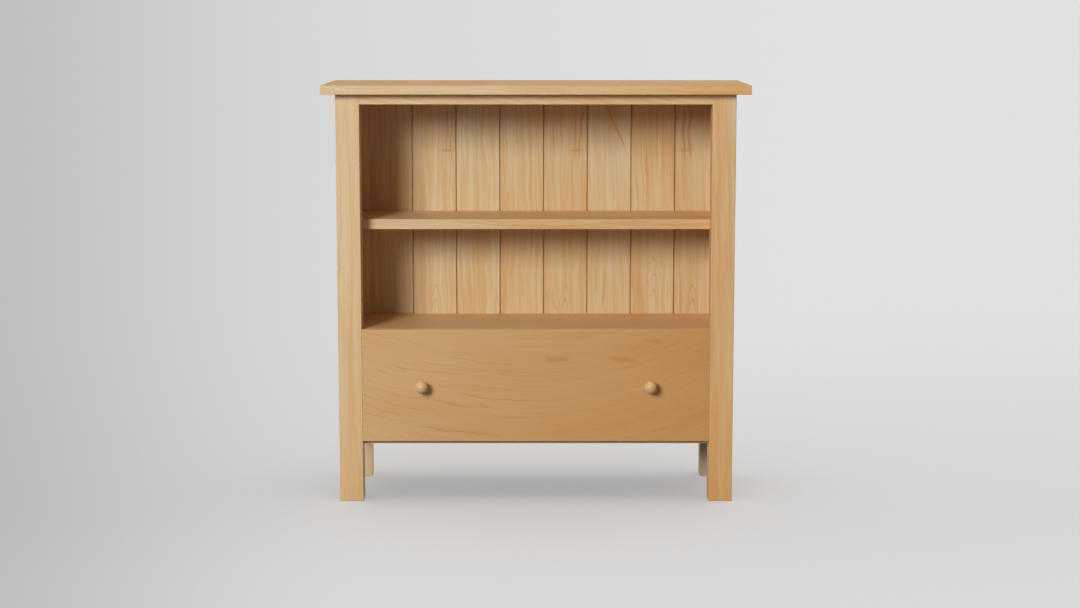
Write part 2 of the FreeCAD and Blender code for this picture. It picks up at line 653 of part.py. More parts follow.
def draw_knob_profile(sketch):
    """Half of the knob's section, in front of the drawer front, with its axis along the sketch's."""
    radius, neck = value("knob_ball") / 2, value("knob_neck") / 2
    tip, bore, hole = value("knob_projection"), value("knob_bore"), value("knob_hole")
    middle = tip - radius
    join = middle - math.sqrt(radius ** 2 - neck ** 2)
    spots = [FreeCAD.Vector(*spot) for spot in
             ((-tip, 0), (-bore, 0), (-bore, hole), (0, hole), (0, neck), (-join, neck))]
    for start, end in zip(spots, spots[1:]):
        sketch.addGeometry(Part.LineSegment(start, end), False)
    ball = Part.Circle(FreeCAD.Vector(-middle, 0, 0), UP, radius)
    from_angle = math.atan2(neck, middle - join)
    arc = sketch.addGeometry(Part.ArcOfCircle(ball, from_angle, math.pi), False)
    for index in range(4):
        sketch.addConstraint(Sketcher.Constraint("Coincident", index, 2, index + 1, 1))
    sketch.addConstraint(Sketcher.Constraint("Coincident", 4, 2, arc, 1))
    sketch.addConstraint(Sketcher.Constraint("Coincident", 0, 1, arc, 2))
    fix_point(sketch, 1, 1, "-knob_bore", 0)
    fix_point(sketch, 2, 1, "-knob_bore", "knob_hole")
    fix_point(sketch, 3, 1, 0, "knob_hole")
    fix_point(sketch, 4, 1, 0, "knob_neck / 2")
    bind(sketch, "DistanceY", "knob_neck / 2", -1, 1, 4, 2)
    bind(sketch, "DistanceY", 0, -1, 1, 0, 1)
    fix_point(sketch, arc, 3, "knob_ball / 2 - knob_projection", 0)
    bind(sketch, "Radius", "knob_ball / 2", arc)


def channel(side, web, mouth, half, lips_out):
    """Section of a slide member: its web, two flanges, and a lip at the mouth of each flange.

    The web and the mouth are distances from the leg towards the drawer, and half is from the
    middle of the member to the outside of a flange. The lips turn out or in.
    """
    opens = f"(({mouth}) - ({web})) / abs(({mouth}) - ({web}))"
    web_face = f"({web}) + slide_steel * {opens}"
    lip_face = f"({mouth}) - slide_steel * {opens}"
    outer, inner = f"({half})", f"({half}) - slide_steel"
    if lips_out:
        end = f"{outer} + slide_lip"
        upper = [(web, outer), (lip_face, outer), (lip_face, end), (mouth, end),
                 (mouth, inner), (web_face, inner)]
    else:
        end = f"{inner} - slide_lip"
        upper = [(web, outer), (mouth, outer), (mouth, end), (lip_face, end),
                 (lip_face, inner), (web_face, inner)]
    lower = [(across, f"-({up})") for across, up in reversed(upper)]
    return [(f"{-side} * ({across})", up) for across, up in upper + lower]


def make_slides():
    """Telescopic slides: case member on the leg and cleat, middle member, drawer member."""
    members = (("case", 0, "case_member_reach", "slide_height / 2", False),
               ("middle", "middle_member_start", "middle_member_reach", "middle_member_half", False),
               ("drawer", "slide_thick", "drawer_member_start", "drawer_member_half", True))
    for side_name, side in SIDES:
        for name, web, mouth, half, lips_out in members:
            member = new_body(f"slide_{name}_member_{side_name}", f"{side} * leg_in",
                              "slide_front", "slide_z")
            pad(member, "XZ", 0, "slide_length", channel(side, web, mouth, half, lips_out))
            behind = side < 0 if name != "drawer" else side > 0
            start = f"{-side} * {web}" if behind else f"{-side} * {web} - slide_steel"
            if name == "middle":
                high, long = "slide_window_high / 2", "slide_window_long / 2"
                spot = "slide_screw_rear"
                pocket(member, "YZ", start, "slide_steel",
                       box_corners(f"{spot} - {long}", f"-{high}", f"{spot} + {long}", high))
            else:
                drill(member, "YZ", start, "slide_steel", [(spot, 0) for spot in SLIDE_SCREWS],
                      "slide_hole")


def bore_wire(radius, height):
    """Outline of a bore round the Z axis at a height."""
    corners = [FreeCAD.Vector(radius, 0, height)]
    corners += [FreeCAD.Rotation(UP, turn).multVec(corners[0]) for turn in BORE_TURNS[1:]]
    return Part.makePolygon(corners + corners[:1])


def taper(low_radius, low, high_radius, high):
    """Eight-sided solid on the Z axis between two heights, with a radius at each."""
    return Part.makeLoft([bore_wire(low_radius, low), bore_wire(high_radius, high)], True, True)


def screw(head, head_high, shank, length, point=0):
    """Pan-headed screw on the Z axis: the seat of its head at the origin, its point at +Z."""
    solid = taper(head - value("head_slope"), -head_high, head, 0)
    solid = solid.fuse(taper(shank, 0, shank, length - point))
    if point:
        solid = solid.fuse(taper(shank, length - point, value("screw_tip"), length))
    return solid.removeSplitter()


def square_nail():
    """Square nail on the Z axis: the seat of its head at the origin, its end at +Z."""
    head, side = value("nail_head"), value("nail_side")
    high, length = value("nail_head_high"), value("nail_length")
    top = Part.makeBox(head, head, high, FreeCAD.Vector(-head / 2, -head / 2, -high))
    shank = Part.makeBox(side, side, length, FreeCAD.Vector(-side / 2, -side / 2, 0))
    return top.fuse(shank).removeSplitter()


def shelf_pin():
    """Shelf pin: a peg along +X from the origin, and a plate under the shelf the other way."""
    peg = taper(value("pin_radius"), 0, value("pin_radius"), value("pin_depth"))
    peg.Placement = FreeCAD.Placement(FreeCAD.Vector(),
                                      FreeCAD.Rotation(UP, FreeCAD.Vector(1, 0, 0)))
    low = FreeCAD.Vector(-value("pin_plate_reach"), -value("pin_plate_width") / 2,
                         value("pin_radius") - value("pin_plate_thick"))
    plate = Part.makeBox(value("pin_plate_reach"), value("pin_plate_width"),
                         value("pin_plate_thick"), low)
    return peg.fuse(plate).removeSplitter()


def make_group(name, shape, places, from_axis=UP):
    """One node of equal pieces, each at a point and turned to a direction."""
    copies = []
    for point, direction in places:
        copy = shape.copy()
        turn = FreeCAD.Rotation(from_axis, FreeCAD.Vector(*direction))
        copy.Placement = FreeCAD.Placement(FreeCAD.Vector(*point), turn)
        copies.append(copy)
    group = document.addObject("Part::Feature", name)
    group.Label = name
    group.Shape = Part.Compound(copies)
    nodes.append(group)


def along_bay(inset):
    """The two places at one inset from both ends of the space between the legs of a side."""
    return (value("bay_front") + value(inset), value("bay_back") - value(inset))


def wood_screw(length):
    """Screw of the top board or the drawer front."""
    return screw(value("wood_screw_head"), value("wood_screw_head_high"),
                 value("wood_screw_shank"), value(length), value("screw_point"))


def make_case_fasteners():
    """Screws of the top board and nails of the planks."""
    seat = value("wood_screw_seat")
    spread = value("rail_screw_spread")
    rail_mid = value("case_front") + value("leg_side") / 2
    tops = [((x, rail_mid, value("top_rail_z") + seat), (0, 0, 1)) for x in (-spread, 0, spread)]
    for _, side in SIDES:
        for y in along_bay("top_screw_inset"):
            point = (side * value("top_cleat_mid"), y, value("top_cleat_z") + seat)
            tops.append((point, (0, 0, 1)))
    make_group("top_screws", wood_screw("top_screw_length"), tops)

    back_face = value("back_rail_y") + value("back_rail_thick")
    places = []
    for index in plank_numbers():
        across = -value("leg_in") + index * value("plank_pitch") + value(plank_width(index)) / 2
        for under in BACK_RAIL_HEIGHTS:
            point = (across, back_face, value(under) + value("back_rail_height") / 2)
            places.append((point, (0, -1, 0)))
    make_group("back_nails", square_nail(), places)


def make_drawer_screws():
    """Screws of the slides, the drawer front and the knobs."""
    slide_screw = screw(value("slide_screw_head"), value("slide_screw_head_high"),
                        value("slide_screw_shank"), value("slide_screw_length"),
                        value("screw_point"))
    case_seat = value("leg_in") - value("slide_steel")
    box_seat = value("box_out") + value("slide_steel")
    spots = [value("slide_front") + value(spot) for spot in SLIDE_SCREWS]
    high = value("slide_z")
    make_group("slide_case_screws", slide_screw,
               [((side * case_seat, y, high), (side, 0, 0)) for _, side in SIDES for y in spots])
    make_group("slide_drawer_screws", slide_screw,
               [((side * box_seat, y, high), (-side, 0, 0)) for _, side in SIDES for y in spots])

    seat = value("box_front") + value("box_thick")
    inset = value("front_screw_inset")
    heights = (value("box_z") + inset, value("box_z") + value("box_height") - inset)
    make_group("drawer_front_screws", wood_screw("front_screw_length"),
               [((side * value("front_screw_spread"), seat, z), (0, -1, 0))
                for _, side in SIDES for z in heights])
    knob_screw = screw(value("knob_screw_head"), value("knob_screw_head_high"),
                       value("knob_screw_shank"), value("knob_screw_length"))
    make_group("knob_screws", knob_screw,
               [((side * value("knob_spread"), seat, value("knob_z")), (0, -1, 0))
                for _, side in SIDES])


def make_shelf_pins():
    """Four pins in the middle holes, with the middle shelf on their plates."""
    places = [((side * value("panel_in"), y, value("pin_z")), (side, 0, 0))
              for _, side in SIDES for y in along_bay("pin_inset")]
    make_group("shelf_pins", shelf_pin(), places, FreeCAD.Vector(1, 0, 0))


def check_model():
    """Stop on a failed feature, a cut that takes nothing away, or a bad shape."""
    for item in document.Objects:
        if "Invalid" in item.State or "Error" in item.State:
            raise RuntimeError(f"{item.Name} failed: {item.State}")
        if item.TypeId == "PartDesign::Pocket":
            if item.Shape.Volume > item.BaseFeature.Shape.Volume - TINY:
                raise RuntimeError(f"{item.Name} cuts nothing")
    for node in nodes:
        if node.Shape.isNull() or not node.Shape.isValid() or not node.Shape.Solids:
            raise RuntimeError(f"{node.Label} has no valid solid")


def export_nodes():
    """Write each sub-part to its own STEP file."""
    os.makedirs("parts", exist_ok=True)
    for node in nodes:
        node.Shape.exportStep(f"parts/{node.Label}.step")


fill_sheets()
make_top_board()
make_legs()
make_rails()
make_side_panels()
make_cleats()
make_shelves()
make_planks()
make_drawer_sides()
make_drawer_ends()
make_drawer_bottom()
make_drawer_front()
make_knobs()
make_slides()
make_case_fasteners()
make_drawer_screws()
make_shelf_pins()
document.recompute()
check_model()
export_nodes()
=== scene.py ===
"""Looks of a low maple bookcase with one full-width drawer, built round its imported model.

Metres, in the frame of the model: +Z is up, the front looks towards -Y, and the origin lies on
the floor under the middle of the top board.
"""

import json
import logging
import math
from dataclasses import dataclass, replace
from enum import Enum
from typing import Any, Callable, Mapping, Optional, Sequence, Union

import bmesh
import bpy
from mathutils import Matrix, Vector

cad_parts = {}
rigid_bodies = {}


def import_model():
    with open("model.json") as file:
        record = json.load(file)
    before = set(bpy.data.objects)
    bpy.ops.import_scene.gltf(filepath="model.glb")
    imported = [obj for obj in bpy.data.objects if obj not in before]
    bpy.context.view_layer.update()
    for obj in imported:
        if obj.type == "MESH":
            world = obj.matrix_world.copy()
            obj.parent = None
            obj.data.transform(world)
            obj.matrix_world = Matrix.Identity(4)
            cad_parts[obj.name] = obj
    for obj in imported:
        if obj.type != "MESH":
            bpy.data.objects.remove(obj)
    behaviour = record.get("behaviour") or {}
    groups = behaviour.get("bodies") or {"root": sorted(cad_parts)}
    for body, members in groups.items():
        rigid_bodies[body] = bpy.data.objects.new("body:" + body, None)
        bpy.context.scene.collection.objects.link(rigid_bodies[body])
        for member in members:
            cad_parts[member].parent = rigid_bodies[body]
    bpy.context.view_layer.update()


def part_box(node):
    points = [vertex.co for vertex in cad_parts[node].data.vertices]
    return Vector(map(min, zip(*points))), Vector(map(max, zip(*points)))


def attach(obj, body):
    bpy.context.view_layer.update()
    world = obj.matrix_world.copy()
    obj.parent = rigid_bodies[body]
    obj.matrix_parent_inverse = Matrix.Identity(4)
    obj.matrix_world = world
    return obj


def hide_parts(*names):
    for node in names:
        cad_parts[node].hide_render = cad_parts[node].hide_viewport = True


log = logging.getLogger("bookcase")

Colour = tuple[float, float, float]
Spot = tuple[float, float, float]
Pair = tuple[float, float]
Operand = Union["Wire", float, int]
Piece = bpy.types.Object
Material = bpy.types.Material

WHITE: Colour = (1.0, 1.0, 1.0)
ORIGIN: Spot = (0.0, 0.0, 0.0)

# Edges that turn less than this are shaded smooth, on sawn or bent and on turned pieces.
SMOOTH = math.radians(40.0)
SMOOTH_TURNED = math.radians(32.0)

# Part of a normal that lies along an axis, from which a face counts as square to it.
SQUARE_ON = 0.9

# Places nearer to each other than this are the same, in metres.
SAME_PLACE = 0.000001


def decode(part: int) -> float:
    """Undo the display curve for one part of a colour, 0 to 255."""
    level = part / 255
    return level / 12.92 if level <= 0.04045 else ((level + 0.055) / 1.055) ** 2.4


def linear(red: int, green: int, blue: int) -> Colour:
    """Turn a colour of 0 to 255 into the linear values that a shader reads."""
    return decode(red), decode(green), decode(blue)


def opaque(colour: Colour) -> tuple[float, float, float, float]:
    """Add the fourth number that a colour socket needs."""
    return (*colour, 1.0)


class Wire:
    """Output of a node, which takes part in sums as a number does."""

    def __init__(self, graph: "Graph", socket: bpy.types.NodeSocket) -> None:
        """Keep a socket with the graph it belongs to."""
        self.graph = graph
        self.socket = socket

    def __add__(self, other: Operand) -> "Wire":
        """Add."""
        return self.graph.sum("ADD", self, other)

    __radd__ = __add__

    def __sub__(self, other: Operand) -> "Wire":
        """Take away."""
        return self.graph.sum("SUBTRACT", self, other)

    def __rsub__(self, other: Operand) -> "Wire":
        """Take this from a number."""
        return self.graph.sum("SUBTRACT", other, self)

    def __mul__(self, other: Operand) -> "Wire":
        """Multiply."""
        return self.graph.sum("MULTIPLY", self, other)

    __rmul__ = __mul__

    def __abs__(self) -> "Wire":
        """Drop the sign."""
        return self.graph.sum("ABSOLUTE", self)

    def fade(self, low: float, high: float) -> "Wire":
        """Ease from 0 where this is at its low level to 1 where it is at its high one."""
        return self.graph.add("ShaderNodeMapRange", {"interpolation_type": "SMOOTHSTEP"},
                              {"Value": self, "From Min": low, "From Max": high})

    def near_line(self, spacing: float) -> "Wire":
        """Give the distance from the nearest of evenly spaced lines."""
        return self.graph.sum("PINGPONG", self, spacing)

    def stronger(self, other: "Wire") -> "Wire":
        """Give the greater of two values."""
        return self.graph.sum("MAXIMUM", self, other)


class Graph:
    """Node tree of one material, or of the world."""

    def __init__(self, name: str, kept_in: Any = None) -> None:
        """Start an empty tree.

        Args:
            name: Name of the new material or world.
            kept_in: bpy.data.worlds for a world.
        """
        self.owner = (bpy.data.materials if kept_in is None else kept_in).new(name)
        self.owner.use_nodes = True
        self.tree = self.owner.node_tree
        self.tree.nodes.clear()

    def add(self, kind: str, settings: Optional[Mapping[str, Any]] = None,
            inputs: Optional[Mapping[Union[str, int], Any]] = None,
            output: Union[str, int] = 0) -> Wire:
        """Add a node.

        Args:
            kind: Type of the node.
            settings: Its own settings, set first.
            inputs: Values or wires of its sockets, by name or number.
            output: The socket that the wire starts from.

        Returns:
            A wire from that socket.
        """
        node = self.tree.nodes.new(kind)
        for name, setting in (settings or {}).items():
            setattr(node, name, setting)
        for name, value in (inputs or {}).items():
            if isinstance(value, Wire):
                self.tree.links.new(value.socket, node.inputs[name])
            else:
                node.inputs[name].default_value = value
        return Wire(self, node.outputs[output]) if node.outputs else Wire(self, node.inputs[0])

    def sum(self, operation: str, *values: Operand) -> Wire:
        """Add a Math node on one or two values."""
        return self.add("ShaderNodeMath", {"operation": operation}, dict(enumerate(values)))

    def blend(self, share: Operand, first: Any, second: Any) -> Wire:
        """Mix two colours, wires or four numbers each, with a share of the second."""
        return self.add("ShaderNodeMix", {"data_type": "RGBA"}, {0: share, 6: first, 7: second}, 2)

    def tint(self, colour: Wire, share: Operand, first: Colour, second: Colour) -> Wire:
        """Multiply a colour by one that runs from a first multiplier to a second."""
        return self.add("ShaderNodeVectorMath", {"operation": "MULTIPLY"},
                        {0: colour, 1: self.blend(share, opaque(first), opaque(second))})

    def scale_colour(self, colour: Wire, factor: Operand) -> Wire:
        """Multiply a colour by one number."""
        return self.add("ShaderNodeVectorMath", {"operation": "SCALE"},
                        {"Vector": colour, "Scale": factor})

    def object_axes(self, centre: Spot) -> dict[str, Wire]:
        """Give the three Object coordinates, counted from a point."""
        place = self.add("ShaderNodeTexCoord", output="Object")
        return self.split(self.add("ShaderNodeVectorMath", {"operation": "SUBTRACT"},
                                   {0: place, 1: centre}))

    def split(self, vector: Wire) -> dict[str, Wire]:
        """Give the X, Y and Z of a vector."""
        first = self.add("ShaderNodeSeparateXYZ", inputs={0: vector})
        return {axis: Wire(self, first.socket.node.outputs[axis]) for axis in "XYZ"}

    def seen(self) -> Wire:
        """Give 1 for what the camera sees, directly, mirrored or through glass, otherwise 0."""
        path = self.add("ShaderNodeLightPath")
        rays = [Wire(self, path.socket.node.outputs[f"Is {kind} Ray"])
                for kind in ("Camera", "Glossy", "Transmission")]
        return rays[0].stronger(rays[1]).stronger(rays[2])

    def finish(self, inputs: Mapping[str, Any]) -> Material:
        """Close the tree with a Principled shader.

        Args:
            inputs: Values or wires of the shader's sockets.

        Returns:
            The finished material.
        """
        shader = self.add("ShaderNodeBsdfPrincipled", inputs=inputs)
        self.add("ShaderNodeOutputMaterial", inputs={"Surface": shader})
        return self.owner


# Way in which a seed moves a noise.
SEED_WAY: Spot = (1.0, 0.37, -0.61)


@dataclass(frozen=True)
class Pattern:
    """Noise that is stretched along three axes.

    Attributes:
        per_metre: How often it changes in a metre of each.
        place: Keeps it apart from other patterns of the same seed.
        detail: Number of finer layers.
        rough: Strength of each finer layer.
    """

    per_metre: Spot
    place: float
    detail: float = 2
    rough: float = 0.5

    def over(self, axes: Sequence[Wire], seed: float = 0.0) -> Wire:
        """Lay the noise over coordinates.

        Args:
            axes: Three coordinates in metres.
            seed: Moves the noise to a place of its own.

        Returns:
            Noise from 0 to 1, about a half on the whole.
        """
        graph = axes[0].graph
        scaled = [axis * rate + (seed + self.place) * turn
                  for axis, rate, turn in zip(axes, self.per_metre, SEED_WAY)]
        spot = graph.add("ShaderNodeCombineXYZ", inputs=dict(zip("XYZ", scaled)))
        return graph.add("ShaderNodeTexNoise", {"noise_dimensions": "3D"},
                         {"Vector": spot, "Scale": 1.0, "Detail": self.detail,
                          "Roughness": self.rough})


SWAY = Pattern((2.2, 8.0, 8.0), 0.0)
RIPPLE = Pattern((15.0, 46.0, 46.0), 3.0, 3)
PATCH = Pattern((4.5, 26.0, 26.0), 7.0)
STREAK = Pattern((3.2, 135.0, 45.0), 11.0, 3, 0.68)
BAND = Pattern((1.1, 34.0, 12.0), 13.0)
CLOUD = Pattern((3.0, 11.0, 11.0), 15.0)
WARMTH = Pattern((5.5, 62.0, 22.0), 17.0, 3, 0.6)
FIBRE = Pattern((30.0, 1100.0, 1100.0), 23.0, 2, 0.7)
BLOOM = Pattern((22.0, 30.0, 30.0), 9.0, 3)


class Grain(Enum):
    """Axes of a board: along its grain, across its widest face, and through it."""

    ON_EDGE = "XZY"
    FLAT = "XYZ"
    UPRIGHT = "ZXY"
    SIDEWAYS = "ZYX"
    DEEP = "YZX"


# Multipliers of a wood's colour in its figure.
DARKER: Colour = (0.965, 0.850, 0.700)
PALER: Colour = (1.035, 1.150, 1.320)
WARMER: Colour = (1.000, 0.850, 0.660)
LINED: Colour = (0.880, 0.640, 0.400)

# Slant of the growth layers through a board, and, in metres, the reach of their ripple and
# the width of a line.
THROUGH_SLANT = 0.7
RIPPLE_REACH = 0.011
LINE_WIDTH = 0.0028

# Shares of the noises in the figure, and the levels between which a share grows.
STREAK_SHARE, BAND_SHARE, CLOUD_SHARE = 2.3, 0.9, 1.3
WARM_LEVELS = (0.48, 0.74)
PATCH_LEVELS = (0.38, 0.62)
FACING_LEVELS = (0.6, 0.9)
BENT_RIPPLE = 0.25

# How far the noise bends a mark, and the share of its length at full strength.
BEND_SCALE = 4
MARK_CORE = 0.4

# In arches: reach of the ripple in metres, width of a line, and where they start, stop inside
# and run out at the foot.
ARCH_RIPPLE = 0.01
ARCH_LINE = 0.16
ARCH_TIP = (-0.12, 0.0)
ARCH_LAST = (0.8, 1.0)
ARCH_FOOT = (0.9, 1.5)

# Shares of fibre, bands and end grain in the brightness and the roughness.
FIBRE_SHADE, END_SHADE = 0.09, 0.15
FIBRE_DULL, BAND_DULL, END_DULL = 0.12, 0.10, 0.12
LINE_RELIEF = 0.5


@dataclass(frozen=True)
class Mark:
    """One vein, fleck or warm spot, in metres from the middle of its board.

    Attributes:
        across: Its middle, across the board.
        along: Its middle, along the board.
        wide: Half its width.
        high: Half its length.
        strength: How strong it is at the middle, from 0 to 1.
        slope: How far it moves across in a metre of length.
        bend: How far it strays.
    """

    across: float
    along: float
    wide: float
    high: float
    strength: float
    slope: float = 0.0
    bend: float = 0.012

    def share(self, axes: Sequence[Wire], bent: Wire) -> Wire:
        """Work out where it shows.

        Args:
            axes: Coordinates along, across and through the board.
            bent: Noise that bends it.

        Returns:
            The share, 0 off the mark.
        """
        up = axes[0] - self.along
        aside = axes[1] - self.across - up * self.slope + bent * (self.bend * BEND_SCALE)
        thin = 1 - abs(aside).fade(0.0, self.wide)
        long = 1 - abs(up).fade(self.high * MARK_CORE, self.high)
        return thin * long * self.strength


@dataclass(frozen=True)
class Arch:
    """Nested arches where the board cuts through the rings, in metres from its middle.

    Attributes:
        across: Tip of the first arch, across the board.
        along: Tip of the first arch, along the board.
        wide: Half its width at its foot.
        high: Its height, downwards from the tip.
        count: Number of arches.
        strength: How strong the lines are, from 0 to 1.
    """

    across: float
    along: float
    wide: float
    high: float
    count: float
    strength: float

    def share(self, axes: Sequence[Wire], ripple: Wire) -> Wire:
        """Work out where their lines show.

        Args:
            axes: Coordinates along, across and through the board.
            ripple: Fine noise that bends them.

        Returns:
            The share, 0 off the lines.
        """
        aside = (axes[1] - self.across + ripple * ARCH_RIPPLE) * (1 / self.wide)
        down = (self.along - axes[0]) * (1 / self.high)
        inward = down - aside * aside
        line = 1 - (inward * self.count).near_line(0.5).fade(0.0, ARCH_LINE)
        inside = inward.fade(*ARCH_TIP) * (1 - inward.fade(*ARCH_LAST))
        return line * inside * (1 - down.fade(*ARCH_FOOT)) * self.strength


@dataclass(frozen=True)
class Board:
    """How one board was sawn from its log.

    Attributes:
        grain: Way of its axes.
        seed: Place of its pattern in the wood.
        amber: Share of the deeper colour at the low and at the high end of its length. On the
            outer boards the paler end is partly the wood's tone and partly painted highlight.
        tone: Lighter above 0, darker below.
        streaks: Strength of the fine streaks.
        blush: Share of warm streaks.
        lines: Strength of the growth lines.
        spacing: Metres from one growth line to the next.
        wander: How far the growth lines stray.
        lean: How far they move across in a metre of length.
        curve: How much that changes, in a metre of length.
        zone: Places along the board where the lines start to show and are full.
        marks: Single marks.
        arches: Groups of arches.
        painted_face_amber: Extra share of the deeper colour on its widest faces, painted shade
            that offsets the pale reflection those faces take at a grazing view.
        painted_face_light: How much lighter its widest faces are than its edges. This is painted
            light:
            lighter shelf tops, and below 0 lighter edges, a painted highlight on the drawer front.
    """

    grain: Grain
    seed: float
    amber: Pair = (0.5, 0.5)
    tone: float = 0.0
    streaks: float = 1.0
    blush: float = 0.4
    lines: float = 0.25
    spacing: float = 0.016
    wander: float = 0.03
    lean: float = 0.01
    curve: float = 0.0
    zone: Optional[Pair] = None
    marks: tuple[Mark, ...] = ()
    arches: tuple[Arch, ...] = ()
    painted_face_amber: float = 0.0
    painted_face_light: float = 0.0

    def growth_lines(self, axes: Sequence[Wire], layer: Wire) -> Wire:
        """Work out where its growth lines show.

        Args:
            axes: Coordinates along, across and through it.
            layer: Place among its growth layers, in metres.

        Returns:
            The share, 0 between the lines.
        """
        near = (layer * (2 / self.spacing)).near_line(1.0)
        line = 1 - near.fade(0.0, LINE_WIDTH / self.spacing)
        line = line * PATCH.over(axes, self.seed).fade(*PATCH_LEVELS) * self.lines
        return line * axes[0].fade(*self.zone) if self.zone else line


@dataclass(frozen=True)
class WoodFinish:
    """A wood with its surface.

    Attributes:
        slot: Material slot of the record.
        pale: Its paler colour.
        amber: Its deeper colour.
        gloss: Roughness of the surface.
        sheen: Strength of the reflection.
        relief: Depth of the fibre in the surface, in metres.
    """

    slot: str
    pale: Colour
    amber: Colour
    gloss: float
    sheen: float
    relief: float

    def material(self, name: str, board: Board) -> Material:
        """Make the material of one board.

        Args:
            name: The node's name, which places the board.
            board: How it was sawn.

        Returns:
            The material.
        """
        graph = Graph(f"{self.slot}_{name}")
        low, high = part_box(name)
        found = graph.object_axes(tuple((low + high) / 2))
        axes = [found[axis] for axis in board.grain.value]
        along, across, through = axes
        seed = board.seed

        sway = SWAY.over(axes, seed) - 0.5
        ripple = RIPPLE.over(axes, seed) - 0.5
        layer = across + through * THROUGH_SLANT + along * (along * -board.curve + board.lean)
        layer = layer + sway * board.wander + ripple * RIPPLE_REACH
        grown = [along, layer, through]
        streak = STREAK.over(grown, seed) - 0.5
        band = BAND.over(grown, seed) - 0.5
        cloud = CLOUD.over(axes, seed) - 0.5
        warmth = WARMTH.over(grown, seed)
        fibre = FIBRE.over(axes, seed) - 0.5

        axis = "XYZ".index(board.grain.value[0])
        # The paler end of the length is partly wood tone, partly painted highlight for the sheen.
        start, end = board.amber
        rise = (end - start) / (high[axis] - low[axis])
        facing = graph.split(graph.add("ShaderNodeTexCoord", output="Normal"))
        end_face = abs(facing[board.grain.value[0]]).fade(*FACING_LEVELS)
        face = abs(facing[board.grain.value[2]]).fade(*FACING_LEVELS)
        share = along * rise + face * board.painted_face_amber + (start + end) / 2
        colour = graph.blend(share, opaque(self.pale), opaque(self.amber))
        mixed = streak * STREAK_SHARE + band * BAND_SHARE + cloud * CLOUD_SHARE
        colour = graph.tint(colour, mixed * board.streaks + 0.5, DARKER, PALER)
        colour = graph.tint(colour, warmth.fade(*WARM_LEVELS) * board.blush, WHITE, WARMER)
        lined = board.growth_lines(axes, layer)
        bent = sway + ripple * BENT_RIPPLE
        for mark in board.marks:
            lined = lined.stronger(mark.share(axes, bent))
        for arch in board.arches:
            lined = lined.stronger(arch.share(axes, ripple))
        colour = graph.tint(colour, lined, WHITE, LINED)

        # painted_face_light is painted light: lighter shelf tops, and lighter drawer-front edges
        # as a highlight.
        shade = (1 + board.tone) + fibre * FIBRE_SHADE - end_face * END_SHADE
        colour = graph.scale_colour(colour, shade + face * board.painted_face_light)
        bump = graph.add("ShaderNodeBump", inputs={"Strength": 1.0, "Distance": self.relief,
                                                   "Height": fibre - lined * LINE_RELIEF})
        dull = self.gloss + fibre * FIBRE_DULL + band * BAND_DULL + end_face * END_DULL
        return graph.finish({"Base Color": colour, "Roughness": dull, "Normal": bump,
                             "Specular IOR Level": self.sheen})

    def dress(self, name: str, board: Board) -> None:
        """Give a node its finish."""
        dress_node(name, self.material(name, board))


# Bloom of the zinc: its brightness, where it lies and its share in the roughness.
CLOUDED = 0.84
BLOOM_LEVELS = (0.35, 0.7)
BLOOM_DULL = 0.25

# Marks of the rollers: their share in the brightness and their depth in metres.
DRAWN_SHADE = 0.2
DRAWN_RELIEF = 0.00005


@dataclass(frozen=True)
class SteelFinish:
    """Zinc-plated steel.

    Attributes:
        slot: Material slot of the record.
        colour: Colour of the metal.
        gloss: Roughness of the surface.
        drawn: Marks of the rollers in a metre, across the strip.
    """

    slot: str
    colour: Colour
    gloss: float
    drawn: float

    def material(self, name: str) -> Material:
        """Make the material of one piece, with marks that run from front to back."""
        graph = Graph(f"{self.slot}_{name}")
        found = graph.object_axes(ORIGIN)
        axes = [found[axis] for axis in "YZX"]
        marks = Pattern((6.0, self.drawn, self.drawn), 5.0).over(axes) - 0.5
        bloom = BLOOM.over(axes)
        clouded = tuple(part * CLOUDED for part in self.colour)
        colour = graph.blend(bloom.fade(*BLOOM_LEVELS), opaque(self.colour), opaque(clouded))
        colour = graph.scale_colour(colour, 1 + marks * DRAWN_SHADE)
        bump = graph.add("ShaderNodeBump", inputs={"Strength": 0.5, "Distance": DRAWN_RELIEF,
                                                   "Height": marks})
        return graph.finish({"Base Color": colour, "Metallic": 1.0, "Normal": bump,
                             "Roughness": self.gloss + (bloom - 0.5) * BLOOM_DULL})


def add_object(name: str, data: bpy.types.ID) -> Piece:
    """Add an object to the scene.

    Args:
        name: Its name.
        data: Its mesh, lamp or camera.

    Returns:
        The object.
    """
    found = bpy.data.objects.new(name, data)
    bpy.context.scene.collection.objects.link(found)
    return found


def dress_node(name: str, material: Material) -> None:
    """Put one material in every slot of a node.

    Args:
        name: The node.
        material: Its new material.
    """
    piece = bpy.data.objects[name]
    if not piece.material_slots:
        piece.data.materials.append(material)
    for slot in piece.material_slots:
        slot.link = "OBJECT"
        slot.material = material
    log.info("dressed %s with %s", name, material.name)


MAPLE = WoodFinish("maple", linear(226, 202, 162), linear(224, 174, 112), 0.42, 0.5, 0.00005)
TOP_MAPLE = replace(MAPLE, gloss=0.45, sheen=0.04)
DRAWER_MAPLE = replace(MAPLE, pale=linear(212, 168, 113), amber=linear(201, 147, 84))
PLANK_MAPLE = WoodFinish("maple_planks", linear(215, 193, 150), linear(212, 173, 118),
                         0.46, 0.4, 0.00005)
KNOB_MAPLE = WoodFinish("maple_knobs", linear(236, 194, 136), linear(228, 178, 118),
                        0.30, 0.7, 0.00002)
INNER_WOOD = WoodFinish("inner_wood", linear(209, 180, 138), linear(198, 159, 111),
                        0.60, 0.5, 0.0001)
BOX_WOOD = WoodFinish("drawer_box_wood", linear(222, 202, 168), linear(212, 184, 142),
                      0.56, 0.5, 0.0001)
PLYWOOD = WoodFinish("plywood", linear(222, 202, 168), linear(212, 184, 144), 0.60, 0.5, 0.0001)
SLIDE_STEEL = SteelFinish("slide_steel", (0.62, 0.63, 0.65), 0.36, 900.0)
FASTENER_STEEL = SteelFinish("fastener_steel", (0.58, 0.59, 0.60), 0.42, 500.0)


